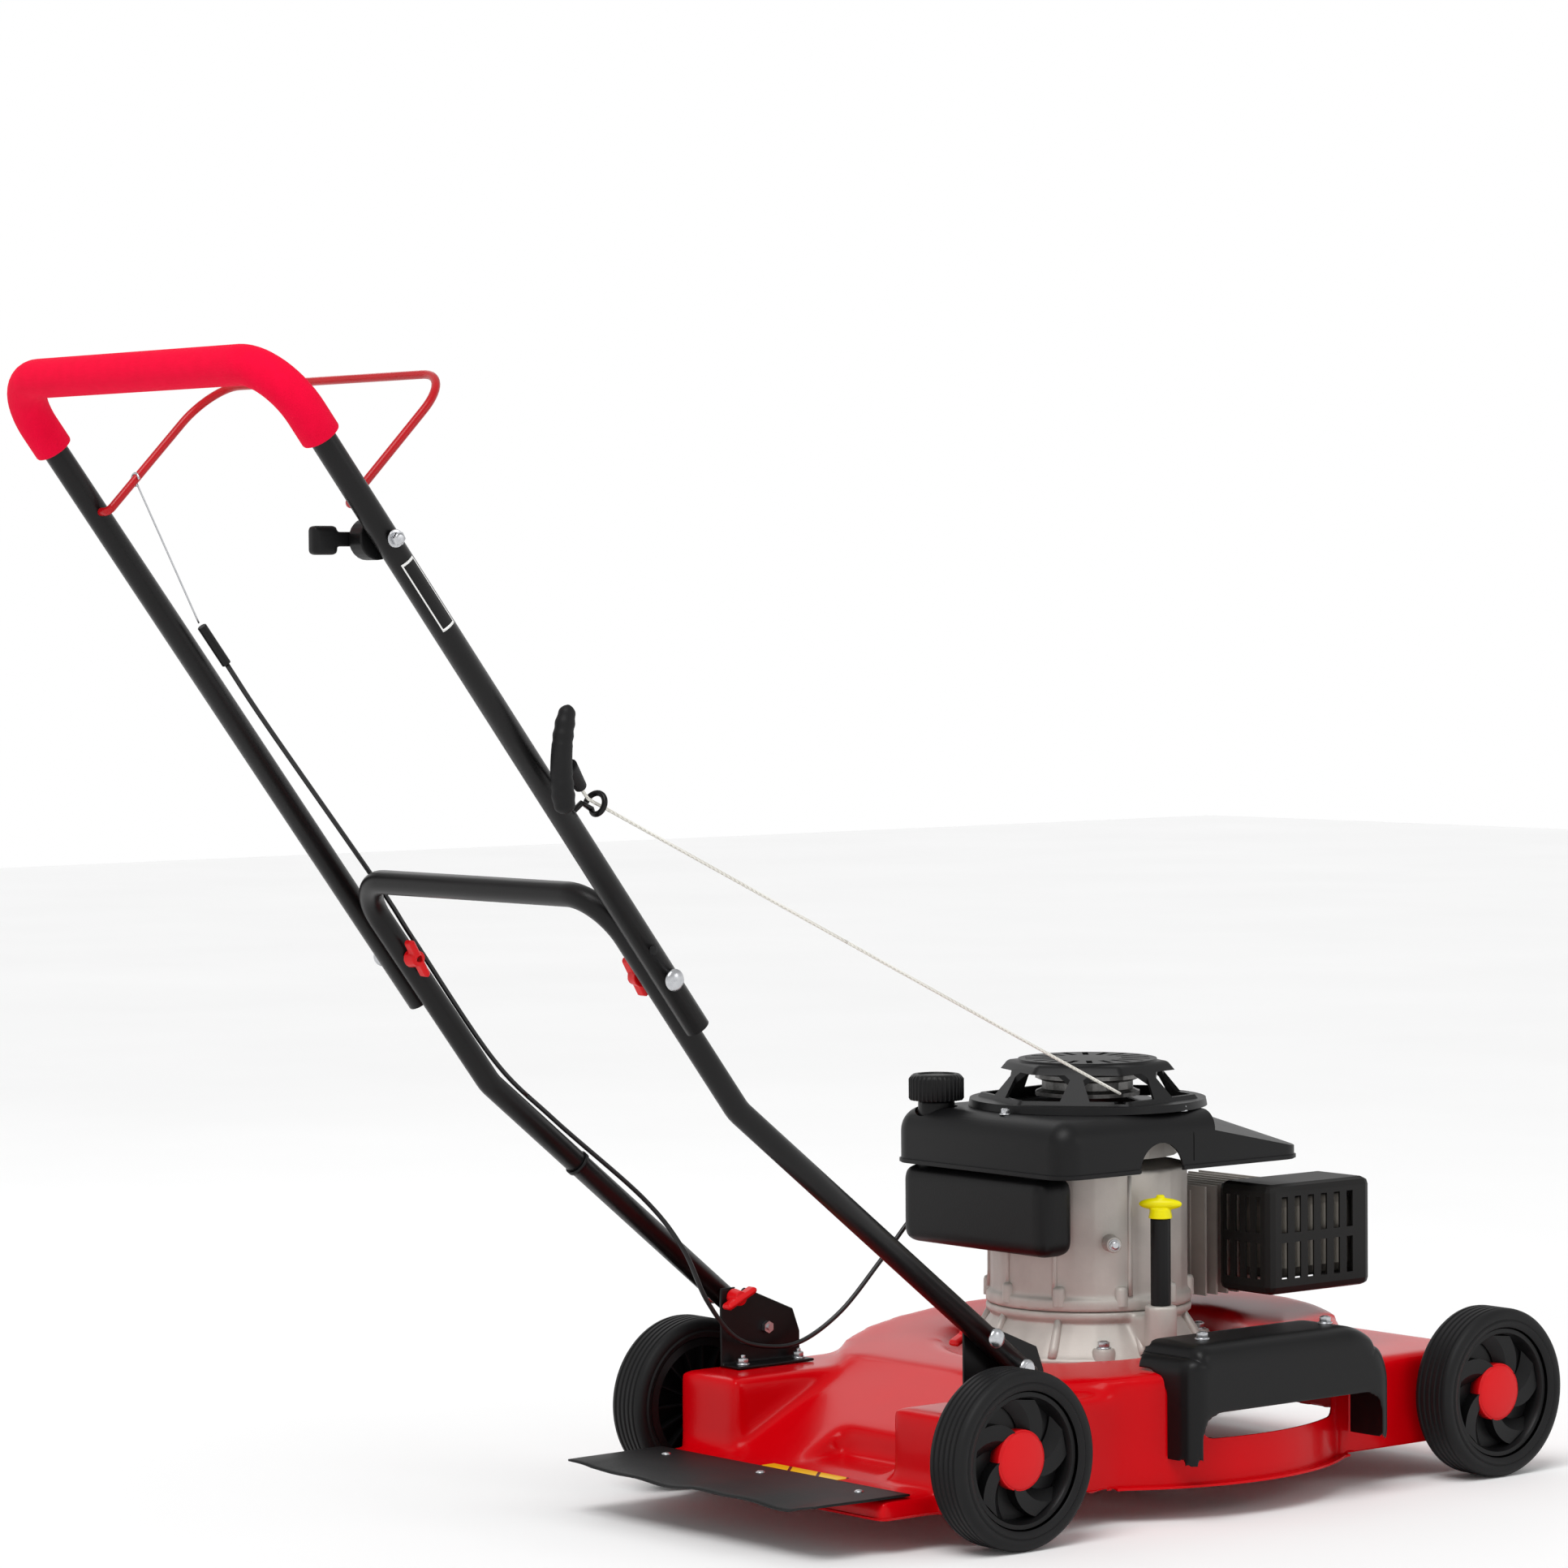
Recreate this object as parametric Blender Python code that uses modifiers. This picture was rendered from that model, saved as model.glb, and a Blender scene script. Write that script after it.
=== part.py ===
"""Petrol push lawn mower: steel deck, vertical-shaft engine, folding handle. Metres, +Z up, +Y forward."""

import math

import bmesh
import bpy
from mathutils import Matrix, Vector

# Driving dimensions, in metres.
GAP = 0.0003  # between pieces that touch
TYRE_R = 0.089
TYRE_STEPS = 36
TYRE_WIDTH = 0.050
WHEEL_OUTER_X = 0.278  # outer face of each tyre
REAR_AXLE_Y = 0.043
WHEELBASE = 0.669
ENGINE_Y = 0.375  # crank axis, on the mid-plane
TUBE_R = 0.012
BOLT_R = 0.0030
BOLT_HOLE_R = 0.0035

# Worked out from them.
AXLE_Z = TYRE_R * math.cos(math.pi / TYRE_STEPS)  # one tread facet lies flat on the ground
FRONT_AXLE_Y = REAR_AXLE_Y + WHEELBASE
WHEEL_MID_X = WHEEL_OUTER_X - TYRE_WIDTH / 2
ENGINE = Vector((0, ENGINE_Y, 0))

# Deck.
SKIRT_Z = 0.036
STEEL = 0.0024
DECK_HALF_X = 0.2125
DECK_REAR_Y = -0.005
DECK_FRONT_Y = 0.748
SHOULDER_Z = 0.130
STEP_REAR_Y = -0.078
STEP_Z = 0.0535
SKIRT_R = 0.262
PLATEAU_R = 0.150
PLATEAU_Z = 0.137

# Handle: side view of its hinge lines, and the tubes' distance from the mid-plane.
LOWER_PIVOT = Vector((0, 0.093, 0.168))
LOWER_KNOB = Vector((0, 0.050, 0.2025))
LOWER_BEND = Vector((0, -0.252, 0.444))
CROSSBAR = Vector((0, -0.4125, 0.6535))
UPPER_END = Vector((0, -0.319, 0.528))
UPPER_KNOB = Vector((0, -0.355, 0.575))
GRIP_BAR = Vector((0, -0.7826, 1.1367))
BAIL_PIVOT = Vector((0, -0.690, 1.0140))
BAIL_BAR = Vector((0, -0.573, 1.133))
THROTTLE = Vector((0, -0.6659, 0.983))
LOWER_X = 0.1995
LOWER_FOOT_X = 0.2078
UPPER_X = 0.2240
BAIL_X = 0.1995
BRACKET_X = 0.1900  # inner face of each bracket's wall
BRACKET_THICK = 0.0030

for old in list(bpy.data.objects):
    bpy.data.objects.remove(old, do_unlink=True)

PARTS = bpy.data.collections.new("push_lawn_mower")
CUTTERS = bpy.data.collections.new("cutters")
CUTTERS.hide_render = True
for group in (PARTS, CUTTERS):
    bpy.context.scene.collection.children.link(group)


def finish(name, rgb, roughness, metallic=0.0):
    material = bpy.data.materials.new(name)
    material.use_nodes = True
    shader = material.node_tree.nodes["Principled BSDF"]
    shader.inputs["Base Color"].default_value = (*rgb, 1)
    shader.inputs["Roughness"].default_value = roughness
    shader.inputs["Metallic"].default_value = metallic
    return material


def paint(obj, material):
    """Gives an object its own copy of a finish."""
    own = material.copy()
    own.name = f"{obj.name}_{material.name}"
    obj.data.materials.clear()
    obj.data.materials.append(own)


def place(obj, material=None):
    """Links a new object to the parts, in its own copy of the finish."""
    PARTS.objects.link(obj)
    if material:
        paint(obj, material)
    return obj


def mesh_object(name, shape, material=None):
    mesh = bpy.data.meshes.new(name)
    shape.normal_update()
    shape.to_mesh(mesh)
    shape.free()
    return place(bpy.data.objects.new(name, mesh), material)


def smooth(obj, angle=35):
    obj.data.shade_smooth()
    obj.data.set_sharp_from_angle(angle=math.radians(angle))
    return obj


def bevelled(obj, width, segments=2):
    modifier = obj.modifiers.new("rounded", "BEVEL")
    modifier.width = width
    modifier.segments = segments
    modifier.limit_method = "ANGLE"
    modifier.angle_limit = math.radians(40)
    return obj


def block(name, low, high, material=None, bevel=0.0, segments=2):
    """A box between two corners, with its edges rounded by bevel."""
    low, high = Vector(low), Vector(high)
    shape = bmesh.new()
    size = Matrix.Diagonal((*(high - low), 1))
    bmesh.ops.create_cube(shape, size=1, matrix=Matrix.Translation((low + high) / 2) @ size)
    obj = mesh_object(name, shape, material)
    return bevelled(obj, bevel, segments) if bevel else obj


def drum(name, start, end, radius, material=None, end_radius=None, sides=24):
    """A cylinder or cone from start to end."""
    start, end = Vector(start), Vector(end)
    along = end - start
    shape = bmesh.new()
    bmesh.ops.create_cone(
        shape,
        cap_ends=True,
        segments=sides,
        radius1=radius,
        radius2=radius if end_radius is None else end_radius,
        depth=along.length,
        matrix=Matrix.Translation((start + end) / 2) @ along.to_track_quat("Z", "Y").to_matrix().to_4x4(),
    )
    return smooth(mesh_object(name, shape, material))


def turned(name, profile, material=None, steps=32, closed=True):
    """A profile of (radius, height) pairs turned about Z; its outer side runs from top to bottom."""
    shape = bmesh.new()
    points = [shape.verts.new((radius, 0, height)) for radius, height in profile]
    for a, b in zip(points, points[1:]):
        shape.edges.new((a, b))
    if closed:
        shape.edges.new((points[-1], points[0]))
    obj = mesh_object(name, shape, material)
    screw = obj.modifiers.new("turn", "SCREW")
    screw.steps = screw.render_steps = steps
    screw.use_merge_vertices = True
    screw.merge_threshold = 0.00002
    screw.use_smooth_shade = False
    return obj


def as_mesh(curve_object, material):
    """The curve's evaluated shape as a mesh object with welded caps; the curve goes."""
    PARTS.objects.link(curve_object)
    bpy.context.view_layer.update()
    graph = bpy.context.evaluated_depsgraph_get()
    mesh = bpy.data.meshes.new_from_object(curve_object.evaluated_get(graph))
    shape = bmesh.new()
    shape.from_mesh(mesh)
    bmesh.ops.remove_doubles(shape, verts=shape.verts, dist=0.000005)
    bmesh.ops.recalc_face_normals(shape, faces=shape.faces)
    shape.to_mesh(mesh)
    shape.free()
    name, world = curve_object.name, curve_object.matrix_world.copy()
    bpy.data.objects.remove(curve_object, do_unlink=True)
    obj = bpy.data.objects.new(name, mesh)
    obj.matrix_world = world
    return smooth(place(obj, material), 50)


def tube(name, points, radius, material=None, resolution=3):
    """A round bar through the points, with flat ends and 4 + 2 x resolution sides."""
    curve = bpy.data.curves.new(name, "CURVE")
    curve.dimensions = "3D"
    curve.bevel_depth = radius
    curve.bevel_resolution = resolution
    curve.use_fill_caps = True
    line = curve.splines.new("POLY")
    line.points.add(len(points) - 1)
    for target, point in zip(line.points, points):
        target.co = (*point, 1)
    return as_mesh(bpy.data.objects.new(name, curve), material)


def plate(name, outline, thickness, material=None, side_view_x=None):
    """A flat outline extruded: in XY about z = 0 or, given side_view_x, in YZ about that x."""
    curve = bpy.data.curves.new(name, "CURVE")
    curve.dimensions = "2D"
    curve.fill_mode = "BOTH"
    curve.extrude = thickness / 2
    line = curve.splines.new("POLY")
    line.points.add(len(outline) - 1)
    for target, (a, b) in zip(line.points, outline):
        target.co = (a, b, 0, 1)
    line.use_cyclic_u = True
    obj = bpy.data.objects.new(name, curve)
    if side_view_x is not None:
        turn = Matrix(((0, 0, 1), (1, 0, 0), (0, 1, 0))).to_4x4()
        obj.matrix_world = Matrix.Translation((side_view_x, 0, 0)) @ turn
    return as_mesh(obj, material)


def helper(obj):
    """Makes an object a cutter: out of the parts, shown as wire, never rendered."""
    PARTS.objects.unlink(obj)
    CUTTERS.objects.link(obj)
    obj.hide_render = True
    obj.display_type = "WIRE"
    return obj


def combine(obj, other, operation):
    modifier = obj.modifiers.new(other.name, "BOOLEAN")
    modifier.operation = operation
    modifier.object = other
    if other.name not in CUTTERS.objects:
        helper(other)
    return obj


def cut(obj, *cutters):
    for cutter in cutters:
        combine(obj, cutter, "DIFFERENCE")
    return obj


def join(obj, *others):
    for other in others:
        combine(obj, other, "UNION")
    return obj


def baked(obj):
    """Replaces the mesh by its evaluated one, so that its copies can share it."""
    bpy.context.view_layer.update()
    graph = bpy.context.evaluated_depsgraph_get()
    mesh = bpy.data.meshes.new_from_object(obj.evaluated_get(graph))
    obj.modifiers.clear()
    obj.data = mesh
    return smooth(obj)


def origin_at(obj, point):
    """Moves the object's origin onto its joint's axis and leaves its shape where it is."""
    obj.data.transform(Matrix.Translation(-Vector(point)))
    obj.location = point
    return obj


def on_side(point, x):
    return Vector((x, point.y, point.z))


def pillar(name, centre, low, high, radius, material=None, **more):
    """An upright drum, its two ends given as heights above centre."""
    return drum(name, centre + Vector((0, 0, low)), centre + Vector((0, 0, high)), radius, material, **more)


def cross_drum(name, point, x_start, x_end, radius, material=None, **more):
    """A drum across the mower, through a point of the side view."""
    return drum(name, on_side(point, x_start), on_side(point, x_end), radius, material, **more)


def bent(corners, radius, steps=5):
    """The corners' path with each inner corner rounded to the radius."""
    path = [Vector(corners[0])]
    for before, corner, after in zip(corners, corners[1:], corners[2:]):
        corner = Vector(corner)
        to_before = (Vector(before) - corner).normalized()
        to_after = (Vector(after) - corner).normalized()
        half = to_before.angle(to_after) / 2
        reach = radius / math.tan(half)
        centre = corner + (to_before + to_after).normalized() * radius / math.sin(half)
        first = (corner + to_before * reach - centre).normalized()
        last = (corner + to_after * reach - centre).normalized()
        for i in range(steps + 1):
            path.append(centre + first.slerp(last, i / steps) * radius)
    path.append(Vector(corners[-1]))
    return path


def through_points(points, spacing):
    """A smooth curve through the points, read at about this spacing."""
    ends = [2 * points[0] - points[1], *points, 2 * points[-1] - points[-2]]
    fine = []
    for p0, p1, p2, p3 in zip(ends, ends[1:], ends[2:], ends[3:]):
        for i in range(20):
            t = i / 20
            fine.append(
                0.5 * (2 * p1 + (p2 - p0) * t + (2 * p0 - 5 * p1 + 4 * p2 - p3) * t**2
                       + (3 * p1 - p0 - 3 * p2 + p3) * t**3)
            )
    fine.append(points[-1])
    path = [fine[0]]
    for point in fine[1:-1]:
        if (point - path[-1]).length >= spacing and (point - fine[-1]).length >= spacing / 2:
            path.append(point)
    return [*path, fine[-1]]


RED_ENAMEL = finish("red_enamel", (0.62, 0.004, 0.010), 0.25)
RED_PLASTIC = finish("red_plastic", (0.75, 0.02, 0.03), 0.4)
RED_STEEL = finish("red_steel", (0.65, 0.01, 0.02), 0.3)
BLACK_PLASTIC = finish("black_plastic", (0.02, 0.02, 0.02), 0.45)
BLACK_STEEL = finish("black_steel", (0.015, 0.015, 0.017), 0.4)
BLACK_RUBBER = finish("black_rubber", (0.02, 0.02, 0.02), 0.7)
CRIMSON_FOAM = finish("crimson_foam", (0.80, 0.0, 0.05), 0.9)
CAST_ALUMINIUM = finish("cast_aluminium", (0.62, 0.61, 0.60), 0.45, 1.0)
STEEL_BRIGHT = finish("bright_steel", (0.60, 0.60, 0.62), 0.3, 1.0)
YELLOW_PLASTIC = finish("yellow_plastic", (0.95, 0.85, 0.0), 0.4)
WHITE_CORD = finish("white_cord", (0.85, 0.85, 0.80), 0.8)

SIDES = {"left": -1, "right": 1}
ENDS = {"rear": REAR_AXLE_Y, "front": FRONT_AXLE_Y}


# Deck: a pressed steel shell, made as an outer form less the same form inset by the sheet's thickness.
def deck_form(name, inset):
    """The deck's outer shape, inset by this much; it runs below the skirt, where it is cut off."""
    below = SKIRT_Z - 0.1
    body = block(
        name,
        (-DECK_HALF_X + inset, DECK_REAR_Y + inset, below),
        (DECK_HALF_X - inset, DECK_FRONT_Y - inset, SHOULDER_Z - inset),
        bevel=0.016,
        segments=2,
    )
    step = block(
        f"{name}_step",
        (-0.200 + inset, STEP_REAR_Y + inset, below),
        (0.200 - inset, 0.05, STEP_Z - inset),
        bevel=0.006,
    )
    ring = drum(
        f"{name}_ring",
        ENGINE + Vector((0, 0, below)),
        ENGINE + Vector((0, 0, 0.1565 - inset)),
        SKIRT_R - inset,
        sides=40,
    )
    for vertex in ring.data.vertices:
        if vertex.co.z > 0:
            vertex.co.z += 0.0744 * (vertex.co.y - ENGINE_Y)
    bevelled(ring, 0.020, 2)
    plateau = drum(
        f"{name}_plateau",
        ENGINE + Vector((0, 0, PLATEAU_Z - inset)),
        ENGINE + Vector((0, 0, 0.3)),
        PLATEAU_R + inset,
        end_radius=PLATEAU_R + inset + 0.06,
        sides=32,
    )
    scoop_foot = Vector((0, -0.010, STEP_Z - inset))
    slope = math.atan2(SHOULDER_Z - STEP_Z, 0.150)
    scoop = block(f"{name}_scoop", (-0.125 - inset, -0.2, 0), (0.125 + inset, 0.4, 0.3))
    scoop.data.transform(Matrix.Rotation(slope, 4, "X"))
    scoop.data.transform(Matrix.Translation(scoop_foot))
    scoop_keep = block(f"{name}_scoop_keep", (-0.3, -0.3, 0), (0.3, 0.160, STEP_Z - inset))
    cut(scoop, scoop_keep)
    cut(body, scoop)
    join(body, step, ring)
    cut(body, plateau)
    return body


skirt_cut = block("below_skirt", (-0.4, -0.4, -0.4), (0.4, 1.0, SKIRT_Z))
deck = deck_form("deck", 0)
DECK_CENTRE = Vector((0, ENGINE_Y, 0))
lip = pillar("deck_lip", DECK_CENTRE, SKIRT_Z - 0.01, SKIRT_Z + STEEL, SKIRT_R + 0.010, sides=40)
join(deck, lip)
cut(deck, deck_form("deck_inside", STEEL), skirt_cut)
cut(
    deck,
    drum("crank_hole", (0, ENGINE_Y, 0.10), (0, ENGINE_Y, 0.2), 0.030),
    block("discharge_cut", (0.16, 0.300, 0.080), (0.30, 0.510, 0.146), bevel=0.012),
    drum("rear_bolt_holes", (-0.3, REAR_AXLE_Y, AXLE_Z), (0.3, REAR_AXLE_Y, AXLE_Z), 0.0064),
    drum("front_bolt_holes", (-0.3, FRONT_AXLE_Y, AXLE_Z), (0.3, FRONT_AXLE_Y, AXLE_Z), 0.0064),
)
paint(deck, RED_ENAMEL)

# Discharge guard: a moulded chute over the opening, trimmed to the deck's curve.
guard = block("discharge_guard", (0.180, 0.262, 0.046), (0.277, 0.548, 0.178), BLACK_PLASTIC, 0.018, 3)
cut(
    guard,
    block("guard_inside", (0.150, 0.2645, 0.02), (0.2745, 0.5455, 0.1755), bevel=0.016, segments=3),
    block("guard_mouth", (0.25, 0.280, 0.02), (0.30, 0.530, 0.108), bevel=0.02),
    block("guard_below", (0.1, 0.2, -0.1), (0.3, 0.6, 0.0475)),
    deck_form("guard_fit", -0.0005),
    pillar("guard_fit_lip", DECK_CENTRE, 0.0, SKIRT_Z + STEEL + 0.0005, SKIRT_R + 0.0105, sides=40),
)

# Rear flap: a strip of rubber riveted on the step, curling down to the grass.
FLAP = (
    (-0.040, 0.0552), (-0.080, 0.0552), (-0.115, 0.0535), (-0.145, 0.0470), (-0.162, 0.0350), (-0.167, 0.0200),
)
FLAP_UNDER = [(y + 0.0015, z - 0.0026) for y, z in FLAP[2:]]
flap = plate(
    "rear_flap",
    [*[(y, z + 0.0012) for y, z in FLAP], *reversed(FLAP_UNDER), (-0.0800, 0.0540), (-0.040, 0.0540)],
    0.396,
    BLACK_RUBBER,
    side_view_x=0,
)

# Wheels: a moulded rim with five openings, a grooved tyre and a snap-on cap, on a bolt through the deck.
RIM = (
    (0.0063, 0.0010), (0.0240, 0.0010), (0.0240, -0.0040), (0.0600, -0.0040),
    (0.0600, 0.0185), (0.0680, 0.0185), (0.0680, -0.0215), (0.0600, -0.0215),
    (0.0600, -0.0080), (0.0170, -0.0080), (0.0170, -0.0395), (0.0063, -0.0395),
)
TYRE = (
    (0.0683, 0.0210), (0.0820, 0.0250), (0.0890, 0.0180), (0.0890, -0.0180), (0.0820, -0.0250), (0.0683, -0.0210),
)
HUB_CAP = (
    (0, 0.0190), (0.0140, 0.0178), (0.0250, 0.0120), (0.0300, 0.0018),
    (0.0265, 0.0018), (0.0225, 0.0095), (0.0125, 0.0152), (0, 0.0160),
)
rim = turned("rim_pattern", RIM, steps=20)
for spoke in range(5):
    turn = Matrix.Rotation(math.tau * spoke / 5, 4, "Z")
    opening = block(f"rim_opening_{spoke}", (0.030, -0.011, -0.02), (0.054, 0.011, 0.01))
    opening.data.transform(turn)
    cut(rim, opening)
baked(rim)
tyre = baked(turned("tyre_pattern", TYRE, steps=TYRE_STEPS))
cap = baked(turned("cap_pattern", HUB_CAP, steps=16, closed=False))
bolt = drum("bolt_pattern", (0, 0, -0.0525), (0, 0, 0.0030), 0.0060, sides=16)
join(
    bolt,
    drum("bolt_head", (0, 0, 0.0015), (0, 0, 0.0075), 0.0105, sides=6),
    drum("bolt_nut", (0, 0, -0.0525), (0, 0, -0.0450), 0.0100, sides=6),
)
baked(bolt)
PATTERNS = {
    "wheel_rim": (rim, BLACK_PLASTIC),
    "wheel_tyre": (tyre, BLACK_RUBBER),
    "hub_cap": (cap, RED_PLASTIC),
    "wheel_bolt": (bolt, STEEL_BRIGHT),
}
for end, axle_y in ENDS.items():
    for side, sign in SIDES.items():
        axis = bpy.data.objects.new(f"wheel_axis_{end}_{side}", None)
        PARTS.objects.link(axis)
        axis.location = (sign * WHEEL_MID_X, axle_y, AXLE_Z)
        axis.rotation_euler = (0, sign * math.pi / 2, 0)
        for kind, (pattern, material) in PATTERNS.items():
            piece = place(bpy.data.objects.new(f"{kind}_{end}_{side}", pattern.data.copy()), material)
            piece.parent = axis
            if kind == "wheel_tyre":
                piece.rotation_euler = (0, 0, math.pi / TYRE_STEPS)
for pattern, _ in PATTERNS.values():
    bpy.data.objects.remove(pattern, do_unlink=True)

# Handle brackets: folded plates on the deck's rear shoulders. The notch follows the arc of the knob's bolt.
BRACKET = ((0.034, 0.1307), (0.034, 0.213), (0.062, 0.213), (0.130, 0.184), (0.139, 0.160), (0.139, 0.1307))
KNOB_ARM = LOWER_KNOB - LOWER_PIVOT
KNOB_ANGLE = math.atan2(KNOB_ARM.z, KNOB_ARM.y)
NOTCH_HALF = BOLT_HOLE_R + 0.0005
NOTCH_TURN = math.radians(36)  # the bolt has left the plate's top edge by then
NOTCH_STEPS = 8
arc = [KNOB_ANGLE - NOTCH_TURN * i / NOTCH_STEPS for i in range(NOTCH_STEPS + 1)]
notch_outline = [
    (LOWER_PIVOT.y + reach * math.cos(turn), LOWER_PIVOT.z + reach * math.sin(turn))
    for reach, turns in ((KNOB_ARM.length + NOTCH_HALF, arc), (KNOB_ARM.length - NOTCH_HALF, arc[::-1]))
    for turn in turns
]
for side, sign in SIDES.items():
    wall_x = sign * (BRACKET_X + BRACKET_THICK / 2)
    bracket = plate(f"handle_bracket_{side}", BRACKET, BRACKET_THICK, BLACK_STEEL, side_view_x=wall_x)
    inner, outer = sorted((sign * 0.1640, sign * (BRACKET_X + 0.001)))
    join(bracket, block(f"bracket_base_{side}", (inner, 0.036, 0.1307), (outer, 0.137, 0.1337)))
    across = [Vector((sign * 0.17, 0, 0)), Vector((sign * 0.22, 0, 0))]
    cut(
        bracket,
        drum(f"bracket_pivot_hole_{side}", *[LOWER_PIVOT + x for x in across], BOLT_HOLE_R, sides=12),
        drum(f"bracket_notch_end_{side}", *[LOWER_KNOB + x for x in across], NOTCH_HALF, sides=12),
    )
    cut(bracket, plate(f"bracket_notch_{side}", notch_outline, 0.04, side_view_x=wall_x))

# Lower handle: one bent tube from bracket to bracket.
foot = LOWER_PIVOT + (LOWER_PIVOT - LOWER_BEND).normalized() * 0.016
corners = [on_side(foot, LOWER_FOOT_X), on_side(LOWER_BEND, LOWER_X), on_side(CROSSBAR, LOWER_X)]
mirrored = [on_side(p, -p.x) for p in reversed(corners)]
lower = tube("lower_handle", bent([*corners, *mirrored], 0.050), TUBE_R, BLACK_STEEL)
knob_hole = cross_drum("upper_knob_holes", UPPER_KNOB, -0.3, 0.3, BOLT_HOLE_R, sides=12)
cut(
    lower,
    cross_drum("pivot_holes", LOWER_PIVOT, -0.3, 0.3, BOLT_HOLE_R, sides=12),
    cross_drum("lower_knob_holes", LOWER_KNOB, -0.3, 0.3, BOLT_HOLE_R, sides=12),
    knob_hole,
)

# Upper handle: a U of tube outside the lower one, with a foam sleeve round its top.
legs = [on_side(UPPER_END, UPPER_X), on_side(GRIP_BAR, UPPER_X)]
mirrored = [on_side(p, -p.x) for p in reversed(legs)]
GRIP_CORNER_R = 0.055
upper = tube("upper_handle", bent([*legs, *mirrored], GRIP_CORNER_R), TUBE_R, BLACK_STEEL)
leg_way = (GRIP_BAR - UPPER_END).normalized()
leg_front = Vector((0, leg_way.z, -leg_way.y))
GUIDE_ROOT = Vector((UPPER_X, -0.4707, 0.727))
cut(
    upper,
    knob_hole,
    cross_drum("bail_holes", BAIL_PIVOT, -0.3, 0.3, 0.0046, sides=12),
    cross_drum("throttle_hole", THROTTLE, 0.15, 0.3, BOLT_HOLE_R, sides=12),
    drum("guide_hole", GUIDE_ROOT - leg_front * 0.02, GUIDE_ROOT + leg_front * 0.02, 0.0034, sides=12),
)
foam_start = GRIP_BAR - leg_way * 0.081
foam_ends = [on_side(foam_start, x) for x in (UPPER_X, -UPPER_X)]
sleeve = bent([foam_ends[0], legs[1], mirrored[0], foam_ends[1]], GRIP_CORNER_R)
grip = tube("foam_grip", sleeve, 0.0185, CRIMSON_FOAM)
cut(grip, tube("grip_bore", bent([*legs, *mirrored], GRIP_CORNER_R), TUBE_R + GAP))

# Upper knobs: a carriage bolt from outside through both tubes, and a wing nut on the inside.
WING_SPAN = 0.021
WING_HALF = 0.0035  # half of a wing's thickness


def wing(name, inner, outer, point, x_start, x_end, bore, turned_by):
    """A red wing knob: a boss about X with two wings, seen along X at the angle turned_by."""
    boss = drum(name, on_side(point, x_start), on_side(point, x_end), 0.0095, RED_PLASTIC, 0.0075, 16)
    low, high = sorted((inner, outer))
    corner = Vector((0, WING_SPAN, WING_HALF))
    wings = block(f"{name}_wings", on_side(-corner, low), on_side(corner, high), bevel=0.0025, segments=1)
    wings.data.transform(Matrix.Rotation(turned_by, 4, "X"))
    wings.data.transform(Matrix.Translation(point))
    join(boss, wings)
    if bore:
        cut(boss, cross_drum(f"{name}_bore", point, 2 * x_start - x_end, x_end * 0.96, bore, sides=12))
    return boss


for side, sign in SIDES.items():
    tube_face = LOWER_X - TUBE_R
    head = drum(
        f"upper_bolt_{side}",
        on_side(UPPER_KNOB, sign * (UPPER_X + TUBE_R + GAP)),
        on_side(UPPER_KNOB, sign * (UPPER_X + TUBE_R + 0.0040)),
        0.0085,
        STEEL_BRIGHT,
        0.0050,
        16,
    )
    shank = drum(
        f"upper_shank_{side}",
        on_side(UPPER_KNOB, sign * (tube_face - 0.008)),
        on_side(UPPER_KNOB, sign * (UPPER_X + TUBE_R + 0.001)),
        BOLT_R,
        sides=12,
    )
    join(head, shank)
    knob = wing(
        f"upper_knob_{side}",
        sign * (tube_face - 0.018),
        sign * (tube_face - 0.004),
        UPPER_KNOB,
        sign * (tube_face - 0.0006),
        sign * (tube_face - 0.014),
        BOLT_R + GAP,
        math.radians(-60),
    )
    origin_at(baked(knob), on_side(UPPER_KNOB, sign * tube_face))

# Lower knobs, with their own bolts, and the pivot bolts in front of them.
for side, sign in SIDES.items():
    outer_face = LOWER_FOOT_X + TUBE_R
    wall = BRACKET_X
    knob = wing(
        f"lower_knob_{side}",
        sign * (wall - 0.018),
        sign * (wall - 0.004),
        LOWER_KNOB,
        sign * (wall - GAP),
        sign * (wall - 0.014),
        0,
        math.radians(25),
    )
    shank = drum(
        f"lower_shank_{side}",
        on_side(LOWER_KNOB, sign * (wall - 0.006)),
        on_side(LOWER_KNOB, sign * (outer_face + 0.002)),
        BOLT_R,
        sides=12,
    )
    head = drum(
        f"lower_head_{side}",
        on_side(LOWER_KNOB, sign * (outer_face + GAP)),
        on_side(LOWER_KNOB, sign * (outer_face + 0.004)),
        0.0080,
        sides=16,
    )
    join(knob, shank, head)
    origin_at(baked(knob), on_side(LOWER_KNOB, sign * wall))
    pivot = drum(
        f"pivot_bolt_{side}",
        on_side(LOWER_PIVOT, sign * (wall - 0.008)),
        on_side(LOWER_PIVOT, sign * (outer_face + 0.002)),
        BOLT_R,
        STEEL_BRIGHT,
        sides=12,
    )
    ends = (("nut", wall - 0.0060, wall - GAP, 6), ("head", outer_face + GAP, outer_face + 0.004, 16))
    for label, near, far, sides in ends:
        near_point, far_point = [on_side(LOWER_PIVOT, sign * x) for x in (near, far)]
        join(pivot, drum(f"pivot_{label}_{side}", near_point, far_point, 0.0065, sides=sides))

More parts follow.
